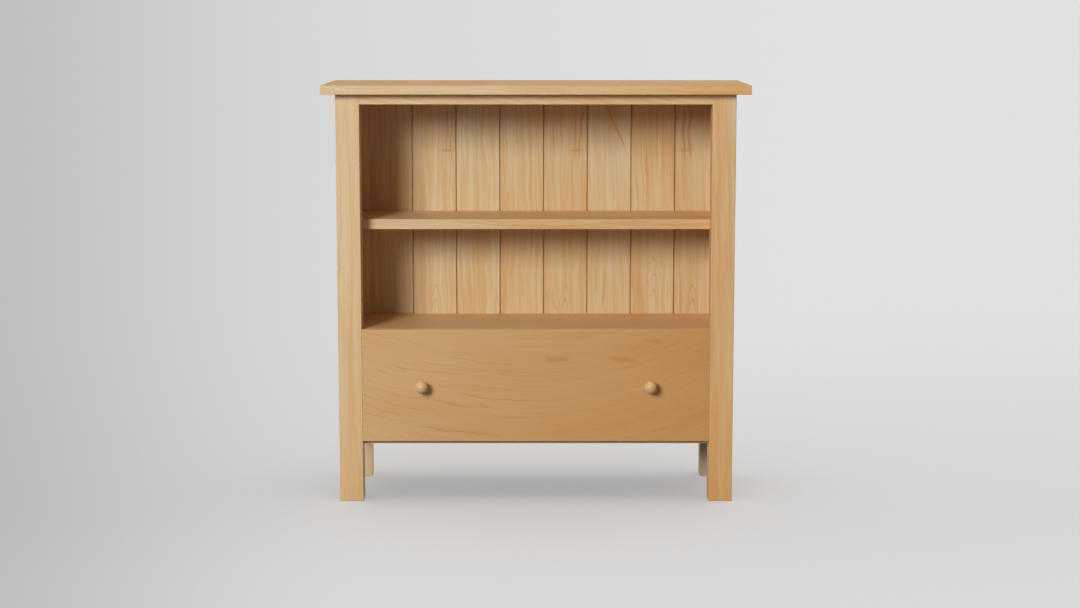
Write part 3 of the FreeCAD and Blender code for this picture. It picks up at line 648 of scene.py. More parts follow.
@dataclass
class Carcass:
    """Top board, legs, rails, panels, cleats and shelves."""

    def dress(self) -> None:
        """Give every board of the case its finish."""
        # Its paler left end is partly painted highlight for the key lamp's sheen, and its top face
        # is painted deeper amber, painted shade against its grazing reflection.
        TOP_MAPLE.dress("top_board", Board(
            Grain.FLAT, 2.0, (0.08, 0.82), tone=0.055, streaks=0.9, blush=0.45, lines=0.4,
            spacing=0.024, wander=0.05, lean=0.03, painted_face_amber=1.1, painted_face_light=0.03))
        # The legs' paler upper ends are partly painted highlight for the key lamp's sheen, and the
        # rear right leg's low tone is painted shade, as it stands in shade behind the front.
        for number, (name, amber, tone) in enumerate((
                ("leg_front_left", (0.74, 0.42), 0.0), ("leg_front_right", (1.1, 0.62), 0.0),
                ("leg_rear_left", (0.5, 0.5), 0.0), ("leg_rear_right", (0.1, 0.1), -0.17))):
            MAPLE.dress(name, Board(Grain.UPRIGHT, 20.0 + 5 * number, amber, tone,
                                    blush=0.3, lines=0.2))
        # Its paler left end is partly painted highlight for the key lamp's sheen.
        MAPLE.dress("top_rail_front", Board(Grain.ON_EDGE, 41.0, (0.3, 0.85), lines=0.5,
                                            lean=0.25))
        MAPLE.dress("bottom_rail_front", Board(Grain.ON_EDGE, 46.0, (0.7, 0.9)))
        for number, name in enumerate(("side_panel_left", "side_panel_right")):
            MAPLE.dress(name, Board(Grain.SIDEWAYS, 61.0 + 5 * number, (0.7, 0.6), lines=0.35,
                                    arches=(Arch(0.02, 0.15, 0.03, 0.16, 4.0, 0.35),)))
        # The shelf tops are painted lighter than their front edges, painted light from above, and
        # their paler left ends are partly painted highlight for the key lamp's sheen.
        MAPLE.dress("middle_shelf", Board(Grain.FLAT, 71.0, (0.45, 0.95), -0.04, streaks=1.2,
                                          lines=0.3, painted_face_light=0.05))
        MAPLE.dress("lower_shelf", Board(Grain.FLAT, 77.0, (0.6, 0.9), -0.04, streaks=1.1,
                                         lines=0.2, painted_face_light=0.02))
        for number, name in enumerate(("back_rail_top", "back_rail_middle", "back_rail_bottom")):
            INNER_WOOD.dress(name, Board(Grain.ON_EDGE, 91.0 + 4 * number))
        for number, name in enumerate(("top_cleat_left", "top_cleat_right",
                                       "slide_cleat_left", "slide_cleat_right")):
            INNER_WOOD.dress(name, Board(Grain.DEEP, 111.0 + 4 * number))


@dataclass
class PlankBack:
    """The eight planks of the back, each from a different part of the log. Sizes in metres.

    Attributes:
        count: Number of planks.
        leg_in: Inner face of the legs, from the middle.
        pitch: From one joint to the next.
        last: Width of the last plank.
        face: Depth of the plank faces.
        thick: Thickness of a plank.
        foot: Lower end of the planks.
        top: Upper end of the planks.
        tongue: Reach of a tongue.
        tongue_thick: Thickness of a tongue.
        setback: Tongue behind the face.
        gap: Open joint between two faces.
        fit: Play of a joint.
        round: Radius of the long edges of a face.
    """

    count: int = 8
    leg_in: float = 0.377
    pitch: float = 0.0986
    last: float = 0.0638
    face: float = 0.113
    thick: float = 0.014
    foot: float = 0.125
    top: float = 0.8865
    tongue: float = 0.0069
    tongue_thick: float = 0.005
    setback: float = 0.005
    gap: float = 0.003
    fit: float = 0.0001
    round: float = 0.0008

    def figured(self, seed: float, aside: float, amber: Pair,
                arch_aside: float, tone: float) -> Board:
        """Give a plank two wavy veins with a cross fleck high up, and arches low down.

        Args:
            seed: Place of its pattern in the wood.
            aside: Place of the veins across it.
            amber: Share of the deeper colour at the foot and at the top.
            arch_aside: Place of the arches across it.
            tone: Lighter above 0, darker below.

        Returns:
            The board.
        """
        return Board(
            Grain.UPRIGHT, seed, amber, tone, streaks=1.35, marks=(
                Mark(aside, 0.290, 0.0046, 0.085, 1.0, bend=0.02),
                Mark(aside + 0.012, 0.290, 0.0040, 0.090, 0.9, bend=0.02),
                Mark(aside + 0.002, 0.2445, 0.0240, 0.0036, 1.0, bend=0.0),
                Mark(aside - 0.050, 0.280, 0.0034, 0.040, 0.5),
                Mark(arch_aside - 0.026, -0.100, 0.0036, 0.045, 0.6, bend=0.03)),
            arches=(Arch(arch_aside, -0.062, 0.0135, 0.066, 2.0, 0.8),))

    def dress(self) -> None:
        """Give every plank its finish."""
        boards = (
            Board(Grain.UPRIGHT, 131.0, (0.5, 0.6), streaks=1.2, blush=0.6, lines=0.3),
            self.figured(137.0, 0.030, (0.7, 0.2), 0.004, 0.0),
            Board(Grain.UPRIGHT, 143.0, (0.5, 0.0), streaks=1.3, blush=0.35, lines=0.4,
                  spacing=0.013),
            Board(Grain.UPRIGHT, 149.0, (1.0, 0.1), streaks=1.4, blush=0.5, lines=0.4,
                  spacing=0.021, marks=(Mark(-0.012, -0.045, 0.0022, 0.05, 0.4, -0.3, 0.02),)),
            self.figured(155.0, 0.027, (0.6, 0.4), 0.002, -0.02),
            Board(Grain.UPRIGHT, 161.0, (0.9, 0.1), -0.03, streaks=1.1, blush=0.3, lines=0.1,
                  marks=(Mark(0.017, 0.300, 0.0042, 0.080, 0.9, slope=-0.40),
                         Mark(-0.027, -0.070, 0.0040, 0.060, 0.8, bend=0.03))),
            Board(Grain.UPRIGHT, 167.0, (0.3, 0.8), -0.04, streaks=1.5, blush=0.6, lines=0.7,
                  spacing=0.011, arches=(Arch(0.006, 0.000, 0.022, 0.11, 3.0, 0.5),)),
            self.figured(173.0, -0.008, (0.4, 0.7), 0.010, -0.12),
        )
        for number, board in enumerate(boards, 1):
            name = f"back_plank_{number}"
            if number in (1, self.count):
                self.fit_end_plank(name, number, PLANK_MAPLE.material(name, board))
            else:
                PLANK_MAPLE.dress(name, board)

    def fit_end_plank(self, name: str, number: int, material: Material) -> None:
        """Build a plank at an end of the back, whose face meets the leg without a gap.

        Args:
            name: The node it stands for.
            number: 1 for the left plank, otherwise the right one.
            material: Its finish.
        """
        leg, joint, width = (-1, 1, self.pitch) if number == 1 else (1, -1, self.last)
        edge = leg * self.leg_in
        inner = edge + joint * (width - self.fit if number == 1 else width)
        low, high = min(edge, inner), max(edge, inner)
        face = self.face
        plank = Bench.block(f"end_plank_{number}", (low, face, self.foot),
                            (high, face + self.thick, self.top))
        tongue = (face + self.setback, face + self.setback + self.tongue_thick)
        bpy.ops.object.mode_set(mode="EDIT")
        for depth in tongue:
            bpy.ops.mesh.select_all(action="SELECT")
            bpy.ops.mesh.bisect(plane_co=(0, depth, 0), plane_no=(0, 1, 0))
        inward = -1 if number == 1 else 1
        for side, reach in ((leg, self.tongue), (joint, inward * self.tongue)):
            Bench.pick(plank, "faces", lambda found: found.normal.x * side > SQUARE_ON and
                       tongue[0] < found.calc_center_median().y < tongue[1])
            Bench.extrude(side * reach, 0, 0)
        Bench.pick(plank, "faces", lambda found: found.normal.x * joint > SQUARE_ON and
                   found.calc_center_median().y < tongue[0])
        bpy.ops.transform.translate(value=(-joint * self.gap / 2, 0, 0))
        bpy.ops.mesh.select_all(action="SELECT")
        bpy.ops.mesh.normals_make_consistent(inside=False)
        shown = inner - joint * self.gap / 2
        Bench.pick_edges(plank, lambda a, b: abs(a.z - b.z) > SAME_PLACE and
                         all(abs(end.x - shown) < SAME_PLACE and abs(end.y - face) < SAME_PLACE
                             for end in (a, b)))
        bpy.ops.mesh.bevel(offset=self.round, segments=3, affect="EDGES")
        bpy.ops.object.mode_set(mode="OBJECT")
        bpy.ops.object.shade_smooth_by_angle(angle=SMOOTH)
        Bench.paint(plank, material)
        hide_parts(name)
        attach(plank, "carcass")
        log.info("built %s", plank.name)


@dataclass
class Drawer:
    """Drawer front with its knobs, and the dovetailed box. Sizes in metres.

    Attributes:
        ends: Beyond this distance from the middle the ends of the front begin.
        fitted: New distance of the ends from the middle, which nearly meets the legs.
        lowest: Below this height the lower edge of the front begins.
        drop: How much further down the lower edge comes.
    """

    ends: float = 0.372
    fitted: float = 0.3768
    lowest: float = 0.139
    drop: float = 0.0018

    def fit_front(self, material: Material) -> None:
        """Build the drawer front, whose ends nearly meet the legs.

        Args:
            material: Its finish.
        """
        front = add_object("fitted_front", bpy.data.objects["drawer_front"].data.copy())
        Bench.activate(front)
        bpy.ops.object.mode_set(mode="EDIT")
        bpy.ops.mesh.select_all(action="SELECT")
        bpy.ops.mesh.remove_doubles(threshold=SAME_PLACE)
        for side in (-1, 1):
            Bench.pick_edges(front, lambda a, b: min(a.x * side, b.x * side) > self.ends)
            bpy.ops.transform.resize(value=(0, 1, 1), center_override=(side * self.fitted, 0, 0))
        Bench.pick_edges(front, lambda a, b: max(a.z, b.z) < self.lowest)
        bpy.ops.transform.translate(value=(0, 0, -self.drop))
        bpy.ops.object.mode_set(mode="OBJECT")
        bpy.ops.mesh.customdata_custom_splitnormals_clear()
        bpy.ops.object.shade_smooth_by_angle(angle=SMOOTH)
        shading = front.modifiers.new("shading", "WEIGHTED_NORMAL")
        shading.keep_sharp = True
        bpy.ops.object.modifier_apply(modifier="shading")
        Bench.paint(front, material)
        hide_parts("drawer_front")
        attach(front, "drawer")
        log.info("built %s", front.name)

    def dress(self) -> None:
        """Give every board of the drawer its finish."""
        # Its paler left end is partly painted highlight for the key lamp's sheen, and its edges
        # are painted lighter than its face, a painted highlight along the top edge strip.
        board = Board(Grain.ON_EDGE, 203.0, (-0.6, 0.4), tone=0.38, streaks=0.5, blush=0.25,
                      lines=0.8, spacing=0.019, wander=0.05, lean=-0.04, curve=0.5,
                      zone=(0.20, -0.06), painted_face_amber=0.6, painted_face_light=-0.36, marks=(
                          Mark(0.057, 0.046, 0.0085, 0.034, 0.6, slope=-0.05),
                          Mark(0.056, 0.190, 0.0080, 0.040, 0.6, slope=-0.08),
                          Mark(0.098, 0.255, 0.0060, 0.024, 0.45, slope=-0.05),
                          Mark(0.092, 0.290, 0.0025, 0.050, 0.35, slope=0.35),
                          Mark(0.086, 0.240, 0.0022, 0.060, 0.3, slope=0.3)))
        self.fit_front(DRAWER_MAPLE.material("drawer_front", board))
        KNOB_MAPLE.dress("knobs", Board(Grain.DEEP, 211.0, lines=0.15))
        for number, (name, grain) in enumerate((
                ("drawer_box_front", Grain.ON_EDGE), ("drawer_box_back", Grain.ON_EDGE),
                ("drawer_side_left", Grain.DEEP), ("drawer_side_right", Grain.DEEP))):
            BOX_WOOD.dress(name, Board(grain, 221.0 + 5 * number))
        PLYWOOD.dress("drawer_bottom", Board(Grain.FLAT, 251.0, spacing=0.05, wander=0.08))


class Bench:
    """Modelling steps that the small pieces share."""

    @staticmethod
    def tower(name: str, sides: int, rings: Sequence[Pair], turn: float = 0.0) -> Piece:
        """Build a closed shape on the Z axis by extruding its first face from ring to ring.

        Args:
            name: Name of the piece.
            sides: Corners of each ring.
            rings: Radius and height of each ring, in metres.
            turn: Turn of the corners about the axis.

        Returns:
            The piece.
        """
        radius, height = rings[0]
        bpy.ops.object.select_all(action="DESELECT")
        bpy.ops.mesh.primitive_circle_add(vertices=sides, radius=radius, fill_type="NGON",
                                          location=(0, 0, height), rotation=(0, 0, turn))
        piece = bpy.context.object
        piece.name = name
        bpy.ops.object.transform_apply(location=True, rotation=True, scale=True)
        bpy.ops.object.mode_set(mode="EDIT")
        bpy.ops.mesh.select_all(action="SELECT")
        for wider, higher in rings[1:]:
            Bench.extrude(0, 0, higher - height)
            size = wider / radius
            bpy.ops.transform.resize(value=(size, size, 1), center_override=(0, 0, higher))
            radius, height = wider, higher
        bpy.ops.mesh.select_all(action="SELECT")
        bpy.ops.mesh.normals_make_consistent(inside=False)
        bpy.ops.object.mode_set(mode="OBJECT")
        bpy.ops.object.shade_smooth_by_angle(angle=SMOOTH_TURNED)
        return piece

    @staticmethod
    def pick(piece: Piece, kind: str, wanted: Callable[[Any], bool]) -> None:
        """Select parts of a piece in edit mode, and nothing else of it.

        Args:
            piece: The piece.
            kind: "faces" or "edges".
            wanted: Test that the parts pass.
        """
        mesh = bmesh.from_edit_mesh(piece.data)
        for part in (*mesh.verts, *mesh.edges, *mesh.faces):
            part.select = False
        for part in getattr(mesh, kind):
            if wanted(part):
                part.select_set(True)
        bmesh.update_edit_mesh(piece.data)

    @staticmethod
    def pick_edges(piece: Piece, wanted: Callable[[Vector, Vector], bool]) -> None:
        """Select the edges of a piece in edit mode whose two ends pass a test."""
        Bench.pick(piece, "edges", lambda edge: wanted(*(end.co for end in edge.verts)))

    @staticmethod
    def activate(*pieces: Piece) -> None:
        """Select these pieces and no others, and make the first one active."""
        bpy.ops.object.select_all(action="DESELECT")
        for piece in pieces:
            piece.select_set(True)
        bpy.context.view_layer.objects.active = pieces[0]

    @staticmethod
    def extrude(*move: float) -> None:
        """Extrude what is selected in edit mode by a distance along X, Y and Z."""
        bpy.ops.mesh.extrude_region_move(TRANSFORM_OT_translate={"value": move})

    @staticmethod
    def paint(piece: Piece, material: Material) -> None:
        """Give a built piece one material all over."""
        piece.data.materials.clear()
        piece.data.materials.append(material)

    @staticmethod
    def block(name: str, low: Spot, high: Spot) -> Piece:
        """Add a block between two corners, with its place in its mesh.

        Args:
            name: Name of the piece.
            low: Lowest corner.
            high: Highest corner.

        Returns:
            The piece.
        """
        bpy.ops.object.select_all(action="DESELECT")
        middle = tuple((a + b) / 2 for a, b in zip(low, high))
        bpy.ops.mesh.primitive_cube_add(size=1, location=middle)
        piece = bpy.context.object
        piece.name = name
        piece.scale = tuple(b - a for a, b in zip(low, high))
        bpy.ops.object.transform_apply(location=True, rotation=True, scale=True)
        return piece

    @staticmethod
    def cut(piece: Piece, tool: Piece) -> None:
        """Take a tool's shape out of a piece, and drop the tool.

        Args:
            piece: The piece.
            tool: The tool.
        """
        Bench.activate(piece)
        cut = piece.modifiers.new("cut", "BOOLEAN")
        cut.operation = "DIFFERENCE"
        cut.solver = "EXACT"
        cut.object = tool
        bpy.ops.object.modifier_apply(modifier="cut")
        bpy.data.objects.remove(tool)

    @staticmethod
    def spread(model: Piece, name: str, places: Sequence[tuple[Spot, Spot]]) -> Piece:
        """Put a copy of a model at every place, and join the copies.

        Args:
            model: The piece, with its axis on Z. It is used up.
            name: Name of the joined piece.
            places: Point and direction of each copy, in metres.

        Returns:
            The joined piece.
        """
        copies = []
        for point, way in places:
            copy = model.copy()
            copy.data = model.data.copy()
            bpy.context.scene.collection.objects.link(copy)
            turn = Vector((0.0, 0.0, 1.0)).rotation_difference(Vector(way))
            copy.data.transform(Matrix.Translation(point) @ turn.to_matrix().to_4x4())
            copies.append(copy)
        bpy.data.objects.remove(model)
        Bench.activate(*copies)
        bpy.ops.object.join()
        joined = bpy.context.object
        joined.name = name
        return joined


# Rings of a screw head, from the top: shares of its radius and of its height.
HEAD_RINGS = ((0.52, 1.0), (0.76, 0.90), (0.92, 0.66), (1.0, 0.30), (1.0, 0.0))

# Rise and root of the thread and the two kinds of tip, as shares of the shank's radius, and
# the plain part under the head, as a share of the rise.
RISE, ROOT, POINT_TIP, BLUNT_TIP = 0.9, 0.80, 0.12, 0.72
NECK = 1.2

# Slots of the recess, as shares of the head's radius and height, and how they narrow downwards.
SLOT_LONG, SLOT_THICK, SLOT_DEEP = 0.50, 0.11, 0.72
RECESS_TAPER = (0.45, 0.7, 1.0)


@dataclass(frozen=True)
class Screw:
    """A pan-headed screw with a cross recess, its head's seat at the origin.

    Attributes:
        head: Radius of the head.
        head_high: Height of the head.
        shank: Radius of the shank.
        length: Length under the head.
        point: Length of the tapered end, 0 for a machine screw.
    """

    head: float
    head_high: float
    shank: float
    length: float
    point: float

    def model(self) -> Piece:
        """Build the screw on the Z axis, its point upwards.

        Returns:
            The piece.
        """
        rings = [(self.head * wide, -self.head_high * high) for wide, high in HEAD_RINGS]
        rings += [(self.shank, 0.0)]
        pitch = self.shank * RISE
        height = NECK * pitch
        while height + pitch < self.length - self.point:
            rings += [(self.shank * ROOT, height), (self.shank, height + pitch / 2)]
            height += pitch
        rings += [(self.shank * ROOT, self.length - self.point),
                  (self.shank * (POINT_TIP if self.point else BLUNT_TIP), self.length)]
        piece = Bench.tower("screw", 20, rings)
        for slot_turn in (0.0, math.pi / 2):
            Bench.cut(piece, self.recess(slot_turn))
        return piece

    def recess(self, turn: float) -> Piece:
        """Build the tool that cuts one slot of the recess, narrower at its bottom.

        Args:
            turn: Turn about the screw's axis.

        Returns:
            The tool.
        """
        long, thick = self.head * SLOT_LONG, self.head * SLOT_THICK
        clear, bottom = 0.001, self.head_high * SLOT_DEEP - self.head_high
        tool = Bench.block("recess", (-long, -thick, -self.head_high - clear),
                           (long, thick, bottom))
        bpy.ops.object.mode_set(mode="EDIT")
        Bench.pick(tool, "faces", lambda face: face.normal.z > SQUARE_ON)
        bpy.ops.transform.resize(value=RECESS_TAPER, center_override=(0, 0, bottom))
        bpy.ops.object.mode_set(mode="OBJECT")
        tool.data.transform(Matrix.Rotation(turn, 4, "Z"))
        return tool


@dataclass
class Hardware:
    """Slides with their balls, screws, nails and pins. All sizes are in metres.

    Attributes:
        slide_front: Front end of the slides at rest.
        slide_high: Height of the middle of the slides.
        slide_long: Length of a slide.
        leg_in: Inner face of the legs, from the middle.
        case_seat: Heads of the screws in the case members, from the middle.
        box_seat: Heads of the screws in the drawer members, from the middle.
        rail_back: Depth of the back rails' rear faces.
        nail_rows: Heights of the nails.
        cage_long: Length of a ball cage.
        sheet: Thickness of its sheet.
        ball: Radius of a ball.
        balls: Number of balls in a row.
        ball_pitch: From one ball to the next.
    """

    slide_front: float = -0.112
    slide_high: float = 0.232
    slide_long: float = 0.200
    leg_in: float = 0.377
    case_seat: float = 0.3758
    box_seat: float = 0.3655
    rail_back: float = 0.143
    nail_rows: tuple[float, ...] = (0.160, 0.603, 0.8515)
    cage_long: float = 0.104
    sheet: float = 0.0005
    ball: float = 0.00160
    balls: int = 10
    ball_pitch: float = 0.010

    def dress(self) -> None:
        """Build the screws, nails and ball cages, and give the steel its finish."""
        for side in ("left", "right"):
            for member in ("case", "middle", "drawer"):
                name = f"slide_{member}_member_{side}"
                dress_node(name, SLIDE_STEEL.material(name))
        dress_node("shelf_pins", FASTENER_STEEL.material("shelf_pins"))
        self.drive_screws()
        self.drive_nails()
        self.fit_cages()

    def stand_in(self, piece: Piece, node: str, body: str) -> None:
        """Let a piece stand for a node.

        Args:
            piece: The new piece.
            node: The node.
            body: The body it moves with.
        """
        Bench.paint(piece, FASTENER_STEEL.material(node))
        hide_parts(node)
        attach(piece, body)
        log.info("built %s", piece.name)

    @staticmethod
    def pairs(across: float, depths: Sequence[float], heights: Sequence[float],
              way: Spot) -> list[tuple[Spot, Spot]]:
        """Give the places of screws on the left, then of the same screws on the right.

        Args:
            across: Distance of their heads from the middle.
            depths: Depth of each.
            heights: Height of each.
            way: Direction in which those on the right point.

        Returns:
            Point and direction of each.
        """
        return [((side * across, depth, height), (side * way[0], way[1], way[2]))
                for side in (-1, 1) for depth in depths for height in heights]

    def drive_screws(self) -> None:
        """Drive every screw."""
        wood = Screw(0.0040, 0.0024, 0.0020, 0.0300, 0.003)
        short = replace(wood, length=0.0250)
        slide = Screw(0.0035, 0.0016, 0.00175, 0.0110, 0.003)
        knob = Screw(0.0045, 0.0026, 0.0020, 0.0450, 0.0)
        seat, level = 0.868, (self.slide_high,)
        holes = (self.slide_front + 0.012, self.slide_front + 0.185)
        box_front = (-0.104,)
        tops = [((across, -0.1095, seat), (0, 0, 1)) for across in (-0.280, 0.0, 0.280)]
        tops += self.pairs(0.390, (-0.024, 0.053), (seat,), (0, 0, 1))
        for screw, node, body, places in (
                (wood, "top_screws", "carcass", tops),
                (slide, "slide_case_screws", "carcass",
                 self.pairs(self.case_seat, holes, level, (1, 0, 0))),
                (slide, "slide_drawer_screws", "drawer",
                 self.pairs(self.box_seat, holes, level, (-1, 0, 0))),
                (short, "drawer_front_screws", "drawer",
                 self.pairs(0.310, box_front, (0.192, 0.302), (0, -1, 0))),
                (knob, "knob_screws", "drawer",
                 self.pairs(0.2475, box_front, (0.257,), (0, -1, 0)))):
            self.stand_in(Bench.spread(screw.model(), f"recessed_{node}", places), node, body)

    def drive_nails(self) -> None:
        """Drive the square nails of the planks, with four-sided hammered heads."""
        corner = math.sqrt(2)
        rings = [(0.0006, -0.0010), (0.0013 * corner, -0.0008), (0.0018 * corner, -0.0004),
                 (0.0018 * corner, 0.0), (0.0009 * corner, 0.0), (0.0009 * corner, 0.020),
                 (0.0003, 0.025)]
        nail = Bench.tower("nail", 4, rings, math.pi / 4)
        back = PlankBack()
        places = []
        for number in range(back.count):
            wide = back.pitch if number < back.count - 1 else back.last
            across = -back.leg_in + back.pitch * number + wide / 2
            places += [((across, self.rail_back, height), (0, -1, 0))
                       for height in self.nail_rows]
        self.stand_in(Bench.spread(nail, "square_back_nails", places), "back_nails", "carcass")

    def fit_cages(self) -> None:
        """Fit an outer and an inner cage of balls to each slide, on its middle member."""
        front, long = self.slide_front, self.cage_long
        for side_name, side in (("left", -1), ("right", 1)):
            for name, start, web, reach, race in (
                    ("outer", front + self.slide_long - long, 0.00285, 0.0064, 0.0197),
                    ("inner", front, 0.0051, 0.0092, 0.0151)):
                cage = self.cage(f"ball_cage_{name}_{side_name}", side, start, web, reach, race)
                Bench.paint(cage, SLIDE_STEEL.material(cage.name))
                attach(cage, f"slide_middle_{side_name}")
                log.info("built %s", cage.name)

    def cage(self, name: str, side: int, start: float, web: float, reach: float,
             race: float) -> Piece:
        """Build one cage: a channel of thin sheet that holds two rows of balls.

        Args:
            name: Name of the piece.
            side: -1 for the left slide, 1 for the right.
            start: Front end of the cage.
            web: Near face of its sheet, from the leg.
            reach: Middle of the balls, from the leg.
            race: Middle of the balls, above and below the middle of the slide.

        Returns:
            The piece.
        """
        sheet, lip, first_ball = self.sheet, 0.0009, 0.007
        face = -side
        near = side * (self.leg_in - web)
        edges = sorted((near, near + face * sheet))
        top = race - sheet / 2
        cage = Bench.block(name, (edges[0], start, self.slide_high - top),
                           (edges[1], start + self.cage_long, self.slide_high + top))
        bpy.ops.object.mode_set(mode="EDIT")
        for up in (-1, 1):
            Bench.pick(cage, "faces", lambda found: found.normal.z * up > SQUARE_ON)
            Bench.extrude(0, 0, up * sheet)
            limit = self.slide_high + up * (top + sheet / 4)
            Bench.pick(cage, "faces", lambda found: found.normal.x * face > SQUARE_ON and
                       (found.calc_center_median().z - limit) * up > 0)
            Bench.extrude(face * (reach - web + lip), 0, 0)
        bpy.ops.object.mode_set(mode="OBJECT")
        fold = cage.modifiers.new("fold", "BEVEL")
        fold.width = 0.00018
        fold.segments = 1
        fold.limit_method = "ANGLE"
        bpy.ops.object.modifier_apply(modifier="fold")
        rings = [(self.ball * math.sin(turn), -self.ball * math.cos(turn))
                 for turn in (math.radians(step) for step in range(12, 180, 26))]
        places = [((side * (self.leg_in - reach), start + first_ball + self.ball_pitch * count,
                    self.slide_high + up * race), (0, 0, 1))
                  for up in (-1, 1) for count in range(self.balls)]
        balls = Bench.spread(Bench.tower("ball", 14, rings), "balls", places)
        Bench.activate(cage, balls)
        bpy.ops.object.join()
        bpy.ops.object.shade_smooth_by_angle(angle=SMOOTH)
        return cage


# Level of the surroundings at the far left, and what they gain elsewhere, where 1 is white.
LEFTMOST = 0.47
LEFT_GAIN, RIGHT_GAIN, FAR_GAIN, NEAR_GAIN = 0.205, 0.06, 0.015, 0.025

# Half the width of the view at a depth, in metres, and how much it grows in a metre.
VIEW_HALF, VIEW_DEPTH, VIEW_SPREAD = 0.8, -0.95, 0.21

# What counts as far away behind the floor, in metres, and the least width there.
FAR_AWAY, LEAST_HALF = 1000.0, 0.0001


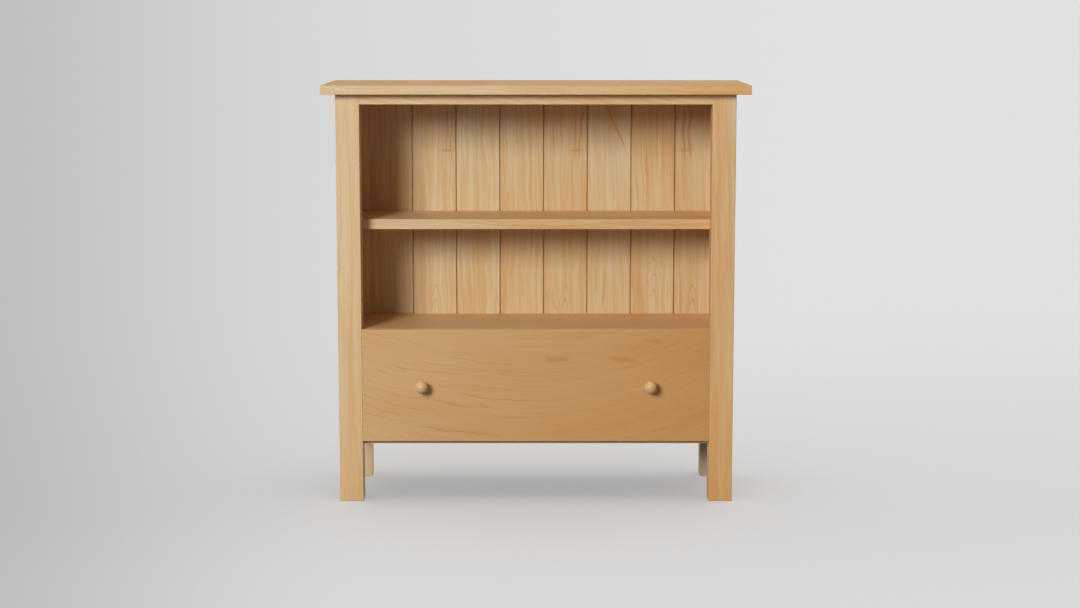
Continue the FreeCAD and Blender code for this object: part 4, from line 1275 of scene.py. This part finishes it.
@dataclass
class Studio:
    """Floor, lamps, surroundings and camera.

    Attributes:
        floor_half: Half the side of the floor.
        glow_share: Share of the floor's brightness that the object can't shade.
        sky: Strength of the light from all round.
        floor_sky: Strength of the wide soft light that only the floor gets.
        overhead: Strength of the wide lamp above.
        bounce: Share of light that the floor throws back on the object.
        middle: The point that the lamps are turned to.
        lens: Focal length in millimetres.
        sensor: Width of the sensor in millimetres.
        sight: Distance in metres that the camera sees.
        stand: Place of the camera.
        tilt: Its tilt in degrees, 90 for level.
    """

    floor_half: float = 280.0
    glow_share: float = 0.45
    sky: float = 0.085
    floor_sky: float = 0.36
    overhead: float = 0.43
    bounce: float = 0.25
    middle: Spot = (0.0, 0.0, 0.45)
    lens: float = 70.8
    sensor: float = 36.0
    sight: float = 300.0
    stand: Spot = (0.0088, -4.676, 1.072)
    tilt: float = 82.02

    def build(self) -> None:
        """Set up everything round the object."""
        floor = self.lay_floor()
        self.hang_lamps(floor)
        self.fill_world()
        self.place_camera()
        bpy.context.scene.view_settings.view_transform = "Standard"

    def lay_floor(self) -> Piece:
        """Lay the floor.

        Returns:
            The floor.
        """
        bpy.ops.object.select_all(action="DESELECT")
        bpy.ops.mesh.primitive_plane_add(size=2 * self.floor_half, location=(0, 0, 0))
        floor = bpy.context.object
        floor.name = "studio_floor"
        floor.data.materials.append(self.floor_material())
        return floor

    @staticmethod
    def backdrop_level(graph: Graph, aside: Wire, behind: Wire, reach: Operand) -> Wire:
        """Work out the brightness of the pale surroundings, a little darker towards the left.

        Args:
            graph: The tree that needs it.
            aside: Coordinate to the right.
            behind: Coordinate to the back.
            reach: Width that counts as one unit to the side.

        Returns:
            The level, where 1 is white.
        """
        slant = graph.sum("DIVIDE", aside, reach)
        far = behind.fade(-0.6, 3.0)
        left = slant.fade(-1.5, -0.3)
        right = slant.fade(-0.5, 0.6)
        near = 1 - behind.fade(-0.95, -0.15)
        return (LEFTMOST + left * LEFT_GAIN + (right * RIGHT_GAIN + FAR_GAIN) * far
                + near * NEAR_GAIN)

    def floor_material(self) -> Material:
        """Make the pale floor, part of whose brightness can't be shaded.

        Returns:
            The material.
        """
        graph = Graph("studio_floor")
        found = graph.object_axes(ORIGIN)
        reach = VIEW_HALF + abs(found["Y"] - VIEW_DEPTH) * VIEW_SPREAD
        level = self.backdrop_level(graph, found["X"], found["Y"], reach)
        seen = graph.seen()
        lit = self.sky + self.floor_sky + self.overhead / math.pi
        shade = seen * level * ((1 - self.glow_share) / lit) + (1 - seen) * self.bounce
        colour = graph.add("ShaderNodeCombineColor", inputs={0: shade, 1: shade, 2: shade})
        diffuse = graph.add("ShaderNodeBsdfDiffuse", inputs={"Color": colour})
        glow = graph.add("ShaderNodeEmission", inputs={
            "Color": opaque(WHITE), "Strength": seen * level * self.glow_share})
        both = graph.add("ShaderNodeAddShader", inputs={0: diffuse, 1: glow})
        graph.add("ShaderNodeOutputMaterial", inputs={"Surface": both})
        return graph.owner

    def hang_lamps(self, floor: Piece) -> None:
        """Hang the lamps. Those on stands leave the floor out.

        Args:
            floor: The floor.
        """
        unlit = bpy.data.collections.new("not_lit_by_stands")
        unlit.objects.link(floor)
        unlit.collection_objects[0].light_linking.link_state = "EXCLUDE"
        for name, place, wide, high, power in (
                ("key", (-3.1, -7.0, 3.15), 2.3, 2.85, 490.0),
                ("rear_fill", (4.4, 4.6, 2.6), 3.0, 3.0, 265.0)):
            lamp = bpy.data.lights.new(name, "AREA")
            lamp.shape = "ELLIPSE"
            lamp.size = wide
            lamp.size_y = high
            lamp.energy = power
            holder = self.hang(name, lamp, place)
            holder.light_linking.receiver_collection = unlit
            holder.visible_glossy = name == "key"
        only_floor = bpy.data.collections.new("lit_by_floor_sky")
        only_floor.objects.link(floor)
        for name, wide, strength in (("overhead", 50.0, self.overhead),
                                     ("floor_sky", 165.0, self.floor_sky * math.pi)):
            lamp = bpy.data.lights.new(name, "SUN")
            lamp.angle = math.radians(wide)
            lamp.energy = strength
            holder = self.hang(name, lamp, (0.0, 0.0, 4.0))
            if name == "floor_sky":
                holder.light_linking.receiver_collection = only_floor

    def hang(self, name: str, lamp: bpy.types.Light, place: Spot) -> Piece:
        """Hang one lamp, turned to the middle of the object.

        Args:
            name: Name of the lamp.
            lamp: The lamp.
            place: Where it hangs.

        Returns:
            The object that holds it.
        """
        holder = add_object(name, lamp)
        holder.location = place
        aim = Vector(self.middle) - Vector(place)
        holder.rotation_euler = aim.to_track_quat("-Z", "Y").to_euler()
        holder.visible_camera = False
        return holder

    def fill_world(self) -> None:
        """Surround the object with even light, and carry the floor's brightness on behind it."""
        graph = Graph("surroundings", bpy.data.worlds)
        bpy.context.scene.world = graph.owner
        axes = graph.split(graph.add("ShaderNodeTexCoord", output="Generated"))
        reach = abs(axes["Y"]) * VIEW_SPREAD + LEAST_HALF
        level = self.backdrop_level(graph, axes["X"], axes["Y"] * FAR_AWAY, reach)
        seen = graph.seen()
        light = graph.add("ShaderNodeBackground", inputs={
            "Color": opaque(WHITE), "Strength": seen * level + (1 - seen) * self.sky})
        graph.add("ShaderNodeOutputWorld", inputs={"Surface": light})

    def place_camera(self) -> None:
        """Stand the camera in front, a little above the top board."""
        lens = bpy.data.cameras.new("camera")
        lens.lens = self.lens
        lens.sensor_width = self.sensor
        lens.sensor_fit = "HORIZONTAL"
        lens.clip_end = self.sight
        camera = add_object("camera", lens)
        camera.location = self.stand
        camera.rotation_euler = (math.radians(self.tilt), 0.0, 0.0)
        bpy.context.scene.camera = camera


def main() -> None:
    """Load the frame, build and dress each sub-assembly, and set up the studio."""
    logging.basicConfig(level=logging.INFO, format="%(message)s")
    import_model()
    for part in (Carcass(), PlankBack(), Drawer(), Hardware()):
        part.dress()
        log.info("finished %s", type(part).__name__)
    Studio().build()


if __name__ == "__main__":
    main()
